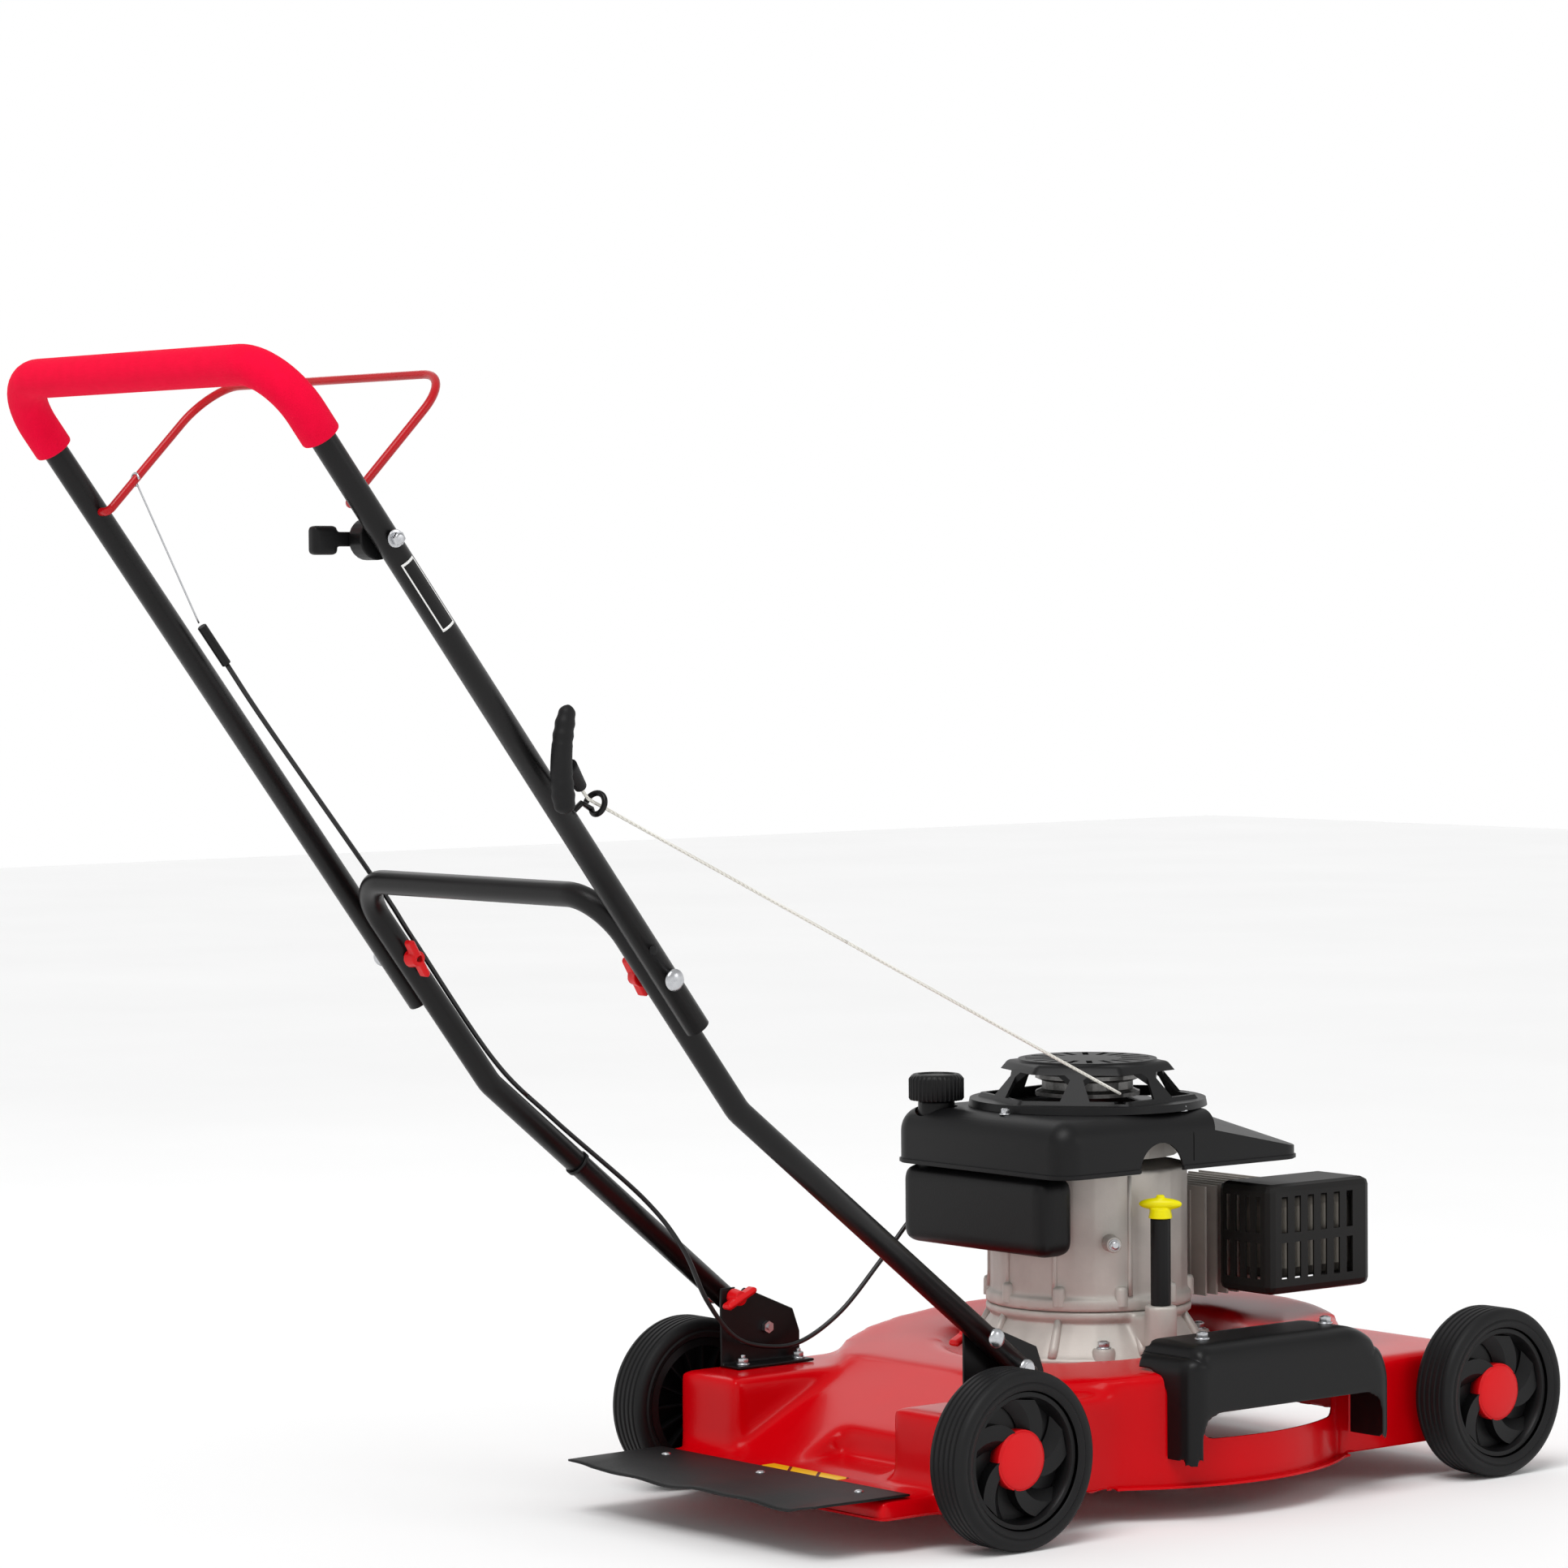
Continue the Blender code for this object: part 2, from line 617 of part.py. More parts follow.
# Bail: a sprung rod across the grip, its ends turned out into the tubes.
pin_x = UPPER_X + 0.006
bail_half = [on_side(BAIL_PIVOT, pin_x), on_side(BAIL_PIVOT, BAIL_X), on_side(BAIL_BAR, BAIL_X)]
bail_path = bent([*bail_half, *[on_side(p, -p.x) for p in reversed(bail_half)]], 0.006, 3)
bail = tube("bail_lever", bail_path, 0.0040, RED_STEEL, 2)
origin_at(bail, BAIL_PIVOT)

# Throttle control: a housing bolted to the right leg, and its lever.
housing = cross_drum("throttle_housing", THROTTLE, 0.1920, 0.2117, 0.0190, BLACK_PLASTIC)
join(
    housing,
    cross_drum("throttle_bolt", THROTTLE, 0.2000, 0.2375, BOLT_R, sides=12),
    cross_drum("throttle_head", THROTTLE, 0.2364, 0.2400, 0.0065, sides=16),
)
lever = cross_drum("throttle_lever", THROTTLE, 0.1840, 0.1916, 0.0120, BLACK_PLASTIC, sides=20)
arm = block("throttle_arm", (0.1842, -0.050, -0.0065), (0.1914, 0, 0.0065))
paddle = block("throttle_paddle", (0.1780, -0.054, -0.014), (0.1914, -0.028, 0.012), bevel=0.004)
for piece in (arm, paddle):
    piece.data.transform(Matrix.Translation(THROTTLE))
join(lever, arm, paddle)
origin_at(baked(lever), on_side(THROTTLE, 0.1878))

# Rope guide: a pigtail of wire in the right leg, holding the starter rope's handle.
GUIDE = Vector((0.2300, -0.4390, 0.7410))
ROPE_EXIT = Vector((0.1000, 0.3290, 0.4160))
rope_way = (GUIDE - ROPE_EXIT).normalized()
coil_start = GUIDE_ROOT + leg_front * 0.024
to_start = (coil_start - GUIDE).normalized()
first_way = (to_start - rope_way * to_start.dot(rope_way)).normalized()
second_way = rope_way.cross(first_way)
COIL_R = 0.0095
COIL_PITCH = 0.0090
coil = [
    GUIDE
    + (first_way * math.cos(t) + second_way * math.sin(t)) * COIL_R
    + rope_way * COIL_PITCH * (t / math.tau - 0.5)
    for t in [math.tau * i / 16 for i in range(16)]
]
tube("rope_guide", [GUIDE_ROOT - leg_front * 0.010, coil_start, *coil], 0.0028, BLACK_STEEL, 2)

# Starter handle: a T grip outside the right leg, and the rope to the recoil starter.
STARTER = Vector((0.2520, -0.4930, 0.7830))
knot = GUIDE + rope_way * 0.012
to_grip = (STARTER - knot).normalized()
handle = pillar("starter_handle", STARTER, -0.050, 0.050, 0.0110, BLACK_PLASTIC, sides=16)
bevelled(handle, 0.004)
join(handle, drum("starter_stem", knot + to_grip * 0.018, STARTER, 0.0060, end_radius=0.0095, sides=16))
origin_at(baked(handle), STARTER)
rope_points = [*(ROPE_EXIT.lerp(GUIDE, share) for share in (0, 0.25, 0.5, 0.75)),
               GUIDE - rope_way * 0.012, knot, knot + to_grip * 0.0177]
tube("starter_rope", through_points(rope_points, 0.030), 0.0016, WHITE_CORD, 2)

# Brake cable: adjuster on the left leg, and the sheath down both tubes to the engine's brake lever.
ADJUSTER = Vector((-0.2060, -0.5840, 0.8760)) + leg_front * 0.0180
adjuster_ends = (ADJUSTER - leg_way * 0.024, ADJUSTER + leg_way * 0.022)
adjuster = drum("cable_adjuster", *adjuster_ends, 0.0048, BLACK_PLASTIC, sides=12)
cable = [
    ADJUSTER - leg_way * 0.0243,
    ADJUSTER - leg_way * 0.100,
    Vector((-0.2040, -0.3820, 0.6480)),
    Vector((-0.1990, -0.3420, 0.5900)),
    Vector((-0.1990, -0.2480, 0.4680)),
    Vector((-0.1990, -0.1740, 0.4030)),
    Vector((-0.1950, -0.0640, 0.3150)),
    Vector((-0.1850, -0.0200, 0.2600)),
    Vector((-0.1790, 0.0060, 0.2050)),
    Vector((-0.1755, 0.0400, 0.1640)),
    Vector((-0.1735, 0.0820, 0.1500)),
    Vector((-0.1700, 0.1250, 0.1520)),
    Vector((-0.1620, 0.1720, 0.1800)),
    Vector((-0.1520, 0.2160, 0.2280)),
    Vector((-0.1450, 0.2480, 0.2660)),
    Vector((-0.1420, 0.2680, 0.2860)),
]
tube("brake_cable", through_points(cable, 0.014), 0.0026, BLACK_PLASTIC, 2)

# Engine castings: sump with the oil-fill boss, crankcase with the brake lever's arm, finned cylinder.
CRANK_BORE_R = 0.0130
SUMP = (
    (0.1080, 0.1898), (0.1080, 0.1820), (0.1020, 0.1790), (0.1240, 0.1460), (0.1280, 0.1430),
    (0.1280, 0.1374), (CRANK_BORE_R, 0.1374), (CRANK_BORE_R, 0.1898),
)
FILLER = Vector((0.1320, 0.3550, 0))
sump = turned("sump", SUMP, CAST_ALUMINIUM, 28)
sump.location = ENGINE
join(
    sump,
    pillar("fill_boss", FILLER, 0.1500, 0.1985, 0.0165, sides=20),
    block("fill_neck", (0.070, 0.3420, 0.1560), (0.130, 0.3680, 0.1860)),
)
CRANKCASE = (
    (0.1040, 0.3340), (0.1040, 0.2040), (0.1080, 0.2020), (0.1080, 0.1902), (CRANK_BORE_R, 0.1902),
    (CRANK_BORE_R, 0.3340),
)
crankcase = turned("crankcase", CRANKCASE, CAST_ALUMINIUM, 28)
crankcase.location = ENGINE
BRAKE_PIN = Vector((-0.1200, 0.3000, 0.2960))
join(crankcase, block("brake_arm", (-0.128, 0.292, 0.2820), (-0.050, 0.308, 0.2956)))
join(crankcase, pillar("brake_post", BRAKE_PIN, -0.008, 0.006, 0.0035, sides=12))
CYLINDER_LOW = Vector((-0.040, 0.4834, 0.1960))
CYLINDER_HIGH = Vector((0.040, 0.6000, 0.3000))
cylinder = block("cylinder", CYLINDER_LOW, CYLINDER_HIGH, CAST_ALUMINIUM)
FINS = 8
for index in range(FINS):
    y = CYLINDER_LOW.y + 0.001 + index * 0.0155
    join(cylinder, block(f"fin_{index}", (-0.062, y, 0.1900), (0.062, y + 0.0025, 0.3050)))

spark_plug = turned(
    "spark_plug",
    (
        (0, 0.0600), (0.0090, 0.0580), (0.0110, 0.0400), (0.0110, 0.0120),
        (0.0095, 0.0100), (0.0095, 0.0005), (0, 0.0005),
    ),
    BLACK_RUBBER, 16, closed=False,
)
spark_plug.rotation_euler = (-math.pi / 2, 0, 0)
spark_plug.location = (0, CYLINDER_HIGH.y, 0.248)

# Brake lever under the blower housing, turned by the cable about its post.
brake_lever = block("engine_brake_lever", (-0.1480, 0.2760, 0.2962), (-0.1120, 0.3060, 0.2985))
join(brake_lever, drum("cable_stop", (-0.1420, 0.2820, 0.2870), (-0.1420, 0.2820, 0.2980), 0.0040, sides=12))
cut(brake_lever, pillar("brake_lever_hole", BRAKE_PIN, -0.02, 0.02, 0.0038, sides=12))
paint(brake_lever, STEEL_BRIGHT)
origin_at(baked(brake_lever), BRAKE_PIN)

# Muffler behind a slotted guard on the right, carburettor and air filter on the left.
muffler = block("muffler", (0.0880, 0.503, 0.212), (0.1460, 0.623, 0.300), STEEL_BRIGHT, 0.012)
join(muffler, drum("exhaust_stub", (0.0624, 0.560, 0.256), (0.0950, 0.560, 0.256), 0.0110, sides=16))
SHIELD_LOW = Vector((0.076, 0.489, 0.198))
SHIELD_HIGH = Vector((0.155, 0.637, 0.313))
shield = block("muffler_guard", SHIELD_LOW, SHIELD_HIGH, BLACK_STEEL, 0.008, 2)
cut(shield, block("shield_inside", (0.06, 0.4912, 0.2002), (0.1528, 0.6348, 0.3108), bevel=0.007))
for row in range(2):
    z = 0.214 + row * 0.048
    for column in range(4):
        x = 0.088 + column * 0.015
        cut(shield, block(f"rear_slot_{row}_{column}", (x, 0.47, z), (x + 0.007, 0.50, z + 0.038)))
    for column in range(6):
        y = 0.506 + column * 0.019
        cut(shield, block(f"side_slot_{row}_{column}", (0.14, y, z), (0.17, y + 0.009, z + 0.038)))

carburettor = block("carburettor", (-0.1120, 0.505, 0.225), (-0.0625, 0.550, 0.278), CAST_ALUMINIUM, 0.006)
block("air_filter", (-0.1650, 0.455, 0.205), (-0.1123, 0.600, 0.315), BLACK_PLASTIC, 0.014, 3)

# Oil filler tube and dipstick.
filler = pillar("oil_filler_tube", FILLER, 0.1988, 0.2880, 0.0105, BLACK_PLASTIC,
              sides=20)
cut(filler, pillar("filler_bore", FILLER, 0.2100, 0.3000, 0.0075, sides=16))
dipstick = pillar("dipstick", FILLER, 0.2150, 0.2950, 0.0030, YELLOW_PLASTIC,
                sides=12)
dip_grip = block("dip_grip", (-0.0235, -0.0040, 0.2955), (0.0235, 0.0040, 0.3125), bevel=0.0030)
dip_grip.data.transform(Matrix.Rotation(math.radians(40), 4, "Z"))
dip_grip.data.transform(Matrix.Translation(FILLER))
join(dipstick, pillar("dip_cap", FILLER, 0.2883, 0.2970, 0.0125, sides=20), dip_grip)
origin_at(baked(dipstick), FILLER + Vector((0, 0, 0.2883)))

# Fuel tank with its neck, and the cap.
FILL = Vector((-0.0950, 0.2480, 0))
tank = block("fuel_tank", (-0.1250, 0.2220, 0.2530), (0.1000, 0.2680, 0.3345), BLACK_PLASTIC, 0.014, 3)
join(tank, pillar("tank_neck", FILL, 0.3200, 0.4015, 0.0195, sides=24))
fuel_cap = pillar("fuel_cap", FILL, 0.4018, 0.4290, 0.0290, BLACK_PLASTIC)
bevelled(fuel_cap, 0.003)
origin_at(fuel_cap, FILL + Vector((0, 0, 0.4018)))

# Blower housing: a moulded shell over flywheel, crankcase and tank.
blower = block("blower_housing", (-0.1350, 0.2190, 0.2), (0.1350, 0.5590, 0.3950), BLACK_PLASTIC, 0.026, 3)
cut(
    blower,
    block("blower_inside", (-0.1325, 0.2215, 0.1), (0.1325, 0.5565, 0.3925), bevel=0.024, segments=3),
    block("blower_below", (-0.2, 0.1, 0.0), (0.2, 0.7, 0.3360)),
    pillar("fan_inlet", ENGINE, 0.38, 0.41, 0.0880, sides=28),
    pillar("neck_hole", FILL, 0.38, 0.41, 0.0225),
    drum("dipstick_notch", (0.110, FILLER.y, 0.336), (0.160, FILLER.y, 0.336), 0.0300),
)

# Recoil starter: the slotted cover and the pulley inside it.
COVER = (
    (0.0100, 0.4440), (0.0780, 0.4400), (0.1200, 0.4030), (0.1250, 0.3980), (0.1250, 0.3953),
    (0.1210, 0.3953), (0.1160, 0.4020), (0.0760, 0.4370), (0.0100, 0.4410),
)
cover = turned("recoil_cover", COVER, BLACK_PLASTIC, 24)
cover.location = ENGINE
for index in range(6):
    window = block(f"cover_window_{index}", (0.085, -0.024, 0.4055), (0.135, 0.024, 0.4290))
    window.data.transform(Matrix.Rotation(math.tau * (index + 0.5) / 6, 4, "Z"))
    window.data.transform(Matrix.Translation(ENGINE))
    cut(cover, window)
PULLEY_R = 0.055
PULLEY = (
    (0, 0.4436), (0.0090, 0.4436), (0.0090, 0.4280), (PULLEY_R, 0.4280), (PULLEY_R, 0.4240), (0.0480, 0.4210),
    (0.0480, 0.4130), (PULLEY_R, 0.4100), (PULLEY_R, 0.4060), (0, 0.4060),
)
pulley = turned("starter_pulley", PULLEY, BLACK_PLASTIC, 20, closed=False)
pulley.location = ENGINE

# Crankshaft with its blade boss, flywheel, blade and blade bolt turn as one.
SHAFT_R = 0.0127
BLADE_Z = 0.0560
BLADE_THICK = 0.0040
shaft_foot = BLADE_Z + BLADE_THICK + GAP
SHAFT = (
    (0, 0.3950), (SHAFT_R, 0.3950), (SHAFT_R, 0.0800), (0.0200, 0.0800), (0.0200, 0.0660), (0.0300, 0.0640),
    (0.0300, shaft_foot), (0, shaft_foot),
)
crankshaft = turned("crankshaft", SHAFT, steps=16, closed=False)
cut(crankshaft, drum("blade_bolt_bore", (0, 0, 0.04), (0, 0, 0.0850), 0.0052, sides=16))
paint(crankshaft, STEEL_BRIGHT)
FLYWHEEL = (
    (SHAFT_R + GAP, 0.3780), (0.0300, 0.3780), (0.0300, 0.3560),
    (0.0860, 0.3560), (0.0860, 0.3780), (0.0940, 0.3780),
    (0.0940, 0.3450), (SHAFT_R + GAP, 0.3450),
)
flywheel = turned("flywheel", FLYWHEEL, CAST_ALUMINIUM, 24)
blade = block("blade", (-0.2500, -0.0270, BLADE_Z), (0.2500, 0.0270, BLADE_Z + BLADE_THICK), STEEL_BRIGHT)
for sign in SIDES.values():
    low, high = sorted((sign * 0.165, sign * 0.2485))
    lift = block(f"blade_lift_{sign + 1}", (low, -0.002, -0.002), (high, 0.015, 0.002))
    lift.data.transform(Matrix.Rotation(math.radians(35), 4, "X"))
    lift.data.transform(Matrix.Translation((0, 0.0150, BLADE_Z + 0.002)))
    if sign > 0:
        lift.data.transform(Matrix.Rotation(math.pi, 4, "Z") @ Matrix.Scale(-1, 4, (1, 0, 0)))
        lift.data.flip_normals()
    join(blade, lift)
cut(blade, drum("blade_hole", (0, 0, 0.03), (0, 0, 0.07), 0.0052, sides=16))
blade_bolt = drum("blade_bolt", (0, 0, 0.0477), (0, 0, BLADE_Z - GAP), 0.0120, STEEL_BRIGHT, sides=6)
join(blade_bolt, drum("blade_shank", (0, 0, 0.0520), (0, 0, 0.0800), 0.0048, sides=16))
for piece in (crankshaft, flywheel, blade, blade_bolt):
    baked(piece)
    piece.location = ENGINE
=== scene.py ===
"""Petrol push lawn mower with a steel deck and a folding handle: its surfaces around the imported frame."""

import math

import bmesh
import bpy
from mathutils import Matrix, Vector


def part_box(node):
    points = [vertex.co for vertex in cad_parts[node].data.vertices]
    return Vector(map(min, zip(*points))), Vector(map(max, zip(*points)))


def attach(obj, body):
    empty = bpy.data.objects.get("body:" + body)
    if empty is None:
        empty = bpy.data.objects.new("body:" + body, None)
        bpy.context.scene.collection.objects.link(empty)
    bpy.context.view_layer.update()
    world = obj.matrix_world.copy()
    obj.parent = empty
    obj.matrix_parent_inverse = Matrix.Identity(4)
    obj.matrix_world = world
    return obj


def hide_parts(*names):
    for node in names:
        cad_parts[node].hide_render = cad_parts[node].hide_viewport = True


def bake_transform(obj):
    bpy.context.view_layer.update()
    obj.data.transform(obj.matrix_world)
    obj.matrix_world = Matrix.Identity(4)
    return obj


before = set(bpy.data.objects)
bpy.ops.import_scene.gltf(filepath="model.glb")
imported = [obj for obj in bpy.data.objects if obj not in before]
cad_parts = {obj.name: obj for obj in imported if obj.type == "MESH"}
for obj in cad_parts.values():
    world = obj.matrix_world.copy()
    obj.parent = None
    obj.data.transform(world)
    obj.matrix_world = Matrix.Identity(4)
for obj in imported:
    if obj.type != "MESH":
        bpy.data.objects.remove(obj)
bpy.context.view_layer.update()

# The studio: a pale matt floor, and a camera standing low behind the mower's right side with a long lens,
# so that the handle's far end is near the height of the eye.
CAMERA_PLACE = Vector((4.13745, -3.38856, 0.93111))
CAMERA_TURN, CAMERA_TILT, CAMERA_ROLL = (math.radians(degrees) for degrees in (50.942, 2.032, -0.4206))
LENS_MM = 122.787
backwards = Vector((math.sin(CAMERA_TURN), -math.cos(CAMERA_TURN), 0)) * math.cos(CAMERA_TILT)
backwards.z = math.sin(CAMERA_TILT)
level = Vector((0, 0, 1)).cross(backwards).normalized()
view = Matrix((level, backwards.cross(level), backwards)).transposed().to_4x4()
camera = bpy.data.objects.new("camera", bpy.data.cameras.new("camera"))
camera.data.lens = LENS_MM
camera.data.sensor_width = 36
camera.data.clip_end = 60
camera.matrix_world = Matrix.Translation(CAMERA_PLACE) @ view @ Matrix.Rotation(CAMERA_ROLL, 4, "Z")
bpy.context.scene.collection.objects.link(camera)
bpy.context.scene.camera = camera


def linear(hex_colour):
    """An sRGB hex colour as Blender's linear red, green, blue and alpha."""
    shares = [int(hex_colour[i : i + 2], 16) / 255 for i in (1, 3, 5)]
    return (*(c / 12.92 if c <= 0.04045 else ((c + 0.055) / 1.055) ** 2.4 for c in shares), 1)


def feed(target, inputs):
    """Pairs each of a node's sockets, by name or number, with a value or with the socket that feeds it."""
    for key, value in dict(inputs).items():
        if isinstance(value, bpy.types.NodeSocket):
            target.id_data.links.new(value, target.inputs[key])
        else:
            target.inputs[key].default_value = value


def node(tree, kind, inputs=(), shades=(), **settings):
    """Adds a node. shades are the hex colours at a ramp's two ends."""
    made = tree.nodes.new("ShaderNode" + kind)
    for key, value in settings.items():
        setattr(made, key, value)
    for shade, hex_colour in zip(made.color_ramp.elements if shades else (), shades):
        shade.color = linear(hex_colour)
    feed(made, inputs)
    return made


def new_material(name):
    """An empty material, its tree, its shader, and the object's own coordinates in metres."""
    material = bpy.data.materials.new(name)
    material.use_nodes = True
    tree = material.node_tree
    shader = tree.nodes["Principled BSDF"]
    return material, tree, shader, node(tree, "TexCoord").outputs["Object"]


# Matt paper floor. Its faint mottle keeps it from looking like a flat fill.
floor_paper, tree, shader, place = new_material("matt_paper")
mottle = node(tree, "TexNoise", {"Vector": place, "Scale": 1.2, "Detail": 3.0})
tone = node(tree, "ValToRGB", {0: mottle.outputs[0]}, ("#F3F3F3", "#FAFAFA"))
feed(shader, {"Base Color": tone.outputs[0], "Roughness": 0.9})
FLOOR_SIZE = 24
mesh = bpy.data.meshes.new("floor")
half = FLOOR_SIZE / 2
mesh.from_pydata([(-half, -half, 0), (half, -half, 0), (half, half, 0), (-half, half, 0)], [], [(0, 1, 2, 3)])
floor = bpy.data.objects.new("floor", mesh)
floor.location.z = -0.0005
mesh.materials.append(floor_paper)
bpy.context.scene.collection.objects.link(floor)

world = bpy.data.worlds.new("studio")
world.use_nodes = True
# White at eye level and darker overhead, so that slopes facing up keep their own colour.
tree = world.node_tree
sky_height = node(tree, "SeparateXYZ", {0: node(tree, "TexCoord").outputs["Generated"]}).outputs[2]
sky = node(tree, "MapRange", {0: sky_height, "From Min": 0.12, "From Max": 0.50,
                              "To Min": 1.0, "To Max": 0.55})
feed(tree.nodes["Background"], {"Color": linear("#FFFFFF"), "Strength": sky.outputs[0]})
bpy.context.scene.world = world
bpy.context.scene.view_settings.view_transform = "Standard"
# Each lamp's place, its side in metres and its power in watts.
LAMPS = {
    "key": ((1.2, -2.4, 3.4), 1.2, 16),
    "side": ((3.4, 1.6, 2.0), 0.9, 10),
    "far": ((-3.0, 1.0, 2.6), 1.4, 8),
}
MOWER_MIDDLE = Vector((0, 0, 0.35))
# A wide, even source overhead keeps the whole floor the same pale tone.
sun = bpy.data.objects.new("overhead", bpy.data.lights.new("overhead", "SUN"))
sun.data.energy = 1.5
sun.data.angle = math.radians(35)
sun.rotation_euler = (MOWER_MIDDLE - Vector((1.0, -1.6, 3.6))).to_track_quat("-Z", "Y").to_euler()
bpy.context.scene.collection.objects.link(sun)
for lamp_name, (lamp_place, lamp_size, lamp_power) in LAMPS.items():
    lamp = bpy.data.objects.new(lamp_name, bpy.data.lights.new(lamp_name, "AREA"))
    lamp.data.size = lamp_size
    lamp.data.energy = lamp_power
    lamp.location = lamp_place
    lamp.rotation_euler = (MOWER_MIDDLE - lamp.location).to_track_quat("-Z", "Y").to_euler()
    bpy.context.scene.collection.objects.link(lamp)

# Brake cable: a steel wire in a black PVC sheath, from the adjuster on the left leg, down both tubes to the
# engine's brake lever. Starter rope: 3 mm braided nylon, from the recoil starter to the right leg's guide.
# Each is made in stretches that each cross one of the hinges where the handle folds.
def finished(obj, material, slot_name, body=None, *nodes, sharp=None):
    """Gives a new piece its material, shades it smooth but for edges past sharp degrees, and lets it ride a
    body and stand for CAD nodes. slot_name is not used."""
    obj.data.materials.clear()
    obj.data.materials.append(material)
    obj.data.shade_smooth()
    if body:
        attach(obj, body)
    if nodes:
        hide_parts(*nodes)
    if sharp:
        obj.data.set_sharp_from_angle(angle=math.radians(sharp))
    return obj


def mesh_piece(name, shape):
    """A new object from a bmesh, with its faces turned outwards."""
    bmesh.ops.recalc_face_normals(shape, faces=shape.faces)
    mesh = bpy.data.meshes.new(name)
    shape.to_mesh(mesh)
    shape.free()
    obj = bpy.data.objects.new(name, mesh)
    bpy.context.scene.collection.objects.link(obj)
    return obj


def smooth_path(points, spacing):
    """A Catmull-Rom curve through the points, read every spacing metres."""
    points = [Vector(p) for p in points]
    padded = [2 * points[0] - points[1], *points, 2 * points[-1] - points[-2]]
    path = []
    for before, start, end, after in zip(padded, padded[1:], padded[2:], padded[3:]):
        count = max(1, round((end - start).length / spacing))
        for i in range(count):
            t = i / count
            path.append(
                0.5
                * (
                    2 * start
                    + (end - before) * t
                    + (2 * before - 5 * start + 4 * end - after) * t**2
                    + (3 * start - 3 * end + after - before) * t**3
                )
            )
    return [*path, points[-1]]


def sweep(name, path, radius, sides=16):
    """A round bar along a path, closed at both ends. radius is one number, or one for each point."""
    shape = bmesh.new()
    radii = radius if isinstance(radius, list) else [radius] * len(path)
    ways = [(after - before).normalized() for before, after in zip([path[0], *path], [*path[1:], path[-1]])]
    across = ways[0].orthogonal().normalized()
    rings = []
    for point, way, r in zip(path, ways, radii):
        across = (across - way * across.dot(way)).normalized()
        other = way.cross(across)
        turns = [math.tau * i / sides for i in range(sides)]
        spokes = [across * math.cos(t) + other * math.sin(t) for t in turns]
        rings.append([shape.verts.new(point + spoke * r) for spoke in spokes])
    for ring, following in zip(rings, rings[1:]):
        for i in range(sides):
            j = (i + 1) % sides
            shape.faces.new((ring[i], ring[j], following[j], following[i]))
    shape.faces.new(rings[0][::-1])
    shape.faces.new(rings[-1])
    return mesh_piece(name, shape)


# PVC is smooth and a little glossy, with a faint waviness from the extruder.
pvc_sheath, tree, shader, place = new_material("extruded_pvc")
waviness = node(tree, "TexNoise", {"Vector": place, "Scale": 1 / 0.006, "Detail": 2.0})
bump = node(tree, "Bump", {"Height": waviness.outputs[0], "Strength": 0.15, "Distance": 0.0003})
feed(shader, {"Normal": bump.outputs[0], "Base Color": linear("#0E0E0F"), "Roughness": 0.38})

# Braided nylon: diagonal plaits about 1.5 mm apart, drawn as two crossing waves.
braided_nylon, tree, shader, place = new_material("braided_nylon")
PLAIT = 0.0015
waves = []
for lean in (0.7, -0.7):
    slant = node(tree, "Mapping", {"Vector": place, "Rotation": (0.6, lean, 0)})
    waves.append(node(tree, "TexWave", {"Vector": slant.outputs[0], "Scale": 0.3 / PLAIT}).outputs[0])
plaits = node(tree, "Math", {0: waves[0], 1: waves[1]}, operation="MAXIMUM")
# The colour follows the plaits' height and is darker down in the grooves between them: painted shade.
shade = node(tree, "ValToRGB", {0: plaits.outputs[0]}, ("#BDB9AE", "#F0EEE6"))
bump = node(tree, "Bump", {"Height": plaits.outputs[0], "Strength": 0.6, "Distance": 0.0003})
feed(shader, {"Base Color": shade.outputs[0], "Normal": bump.outputs[0], "Roughness": 0.8})

CABLE_R = 0.0025
ROPE_R = 0.0016
leg_way = (Vector((0, -0.7826, 1.1367)) - Vector((0, -0.319, 0.528))).normalized()
leg_front = Vector((0, leg_way.z, -leg_way.y))
adjuster = Vector((-0.2060, -0.5840, 0.8760)) + leg_front * 0.0180
cable_route = smooth_path(
    [
        adjuster - leg_way * 0.0243, adjuster - leg_way * 0.100,
        (-0.2040, -0.3820, 0.6480), (-0.1990, -0.3420, 0.5900), (-0.1990, -0.2480, 0.4680),
        (-0.1990, -0.1740, 0.4030), (-0.1950, -0.0640, 0.3150), (-0.1850, -0.0200, 0.2600),
        (-0.1790, 0.0060, 0.2050), (-0.1755, 0.0400, 0.1640), (-0.1735, 0.0820, 0.1500),
        (-0.1700, 0.1250, 0.1520), (-0.1620, 0.1720, 0.1800), (-0.1520, 0.2160, 0.2280),
        (-0.1450, 0.2480, 0.2660), (-0.1420, 0.2680, 0.2860),
    ],
    0.008,
)
past_dip = min(i for i, p in enumerate(cable_route) if p.y > -0.020)
middle = min(range(len(cable_route)), key=lambda i: abs(cable_route[i].z - 0.430) + (cable_route[i].y > 0))
STRETCHES = (
    ("brake_cable_upper", cable_route[: middle + 1], "upper_frame", "lower_frame"),
    ("brake_cable_lower", cable_route[middle:], "lower_frame", "chassis"),
)
for name, path, above, below in STRETCHES:
    stretch = finished(sweep(name, path, CABLE_R, 12), pvc_sheath, "cable_sheath")
    start, end = (path[0], path[-1]) if above == "upper_frame" else (path[0], cable_route[past_dip])
    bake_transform(stretch)
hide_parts("brake_cable")

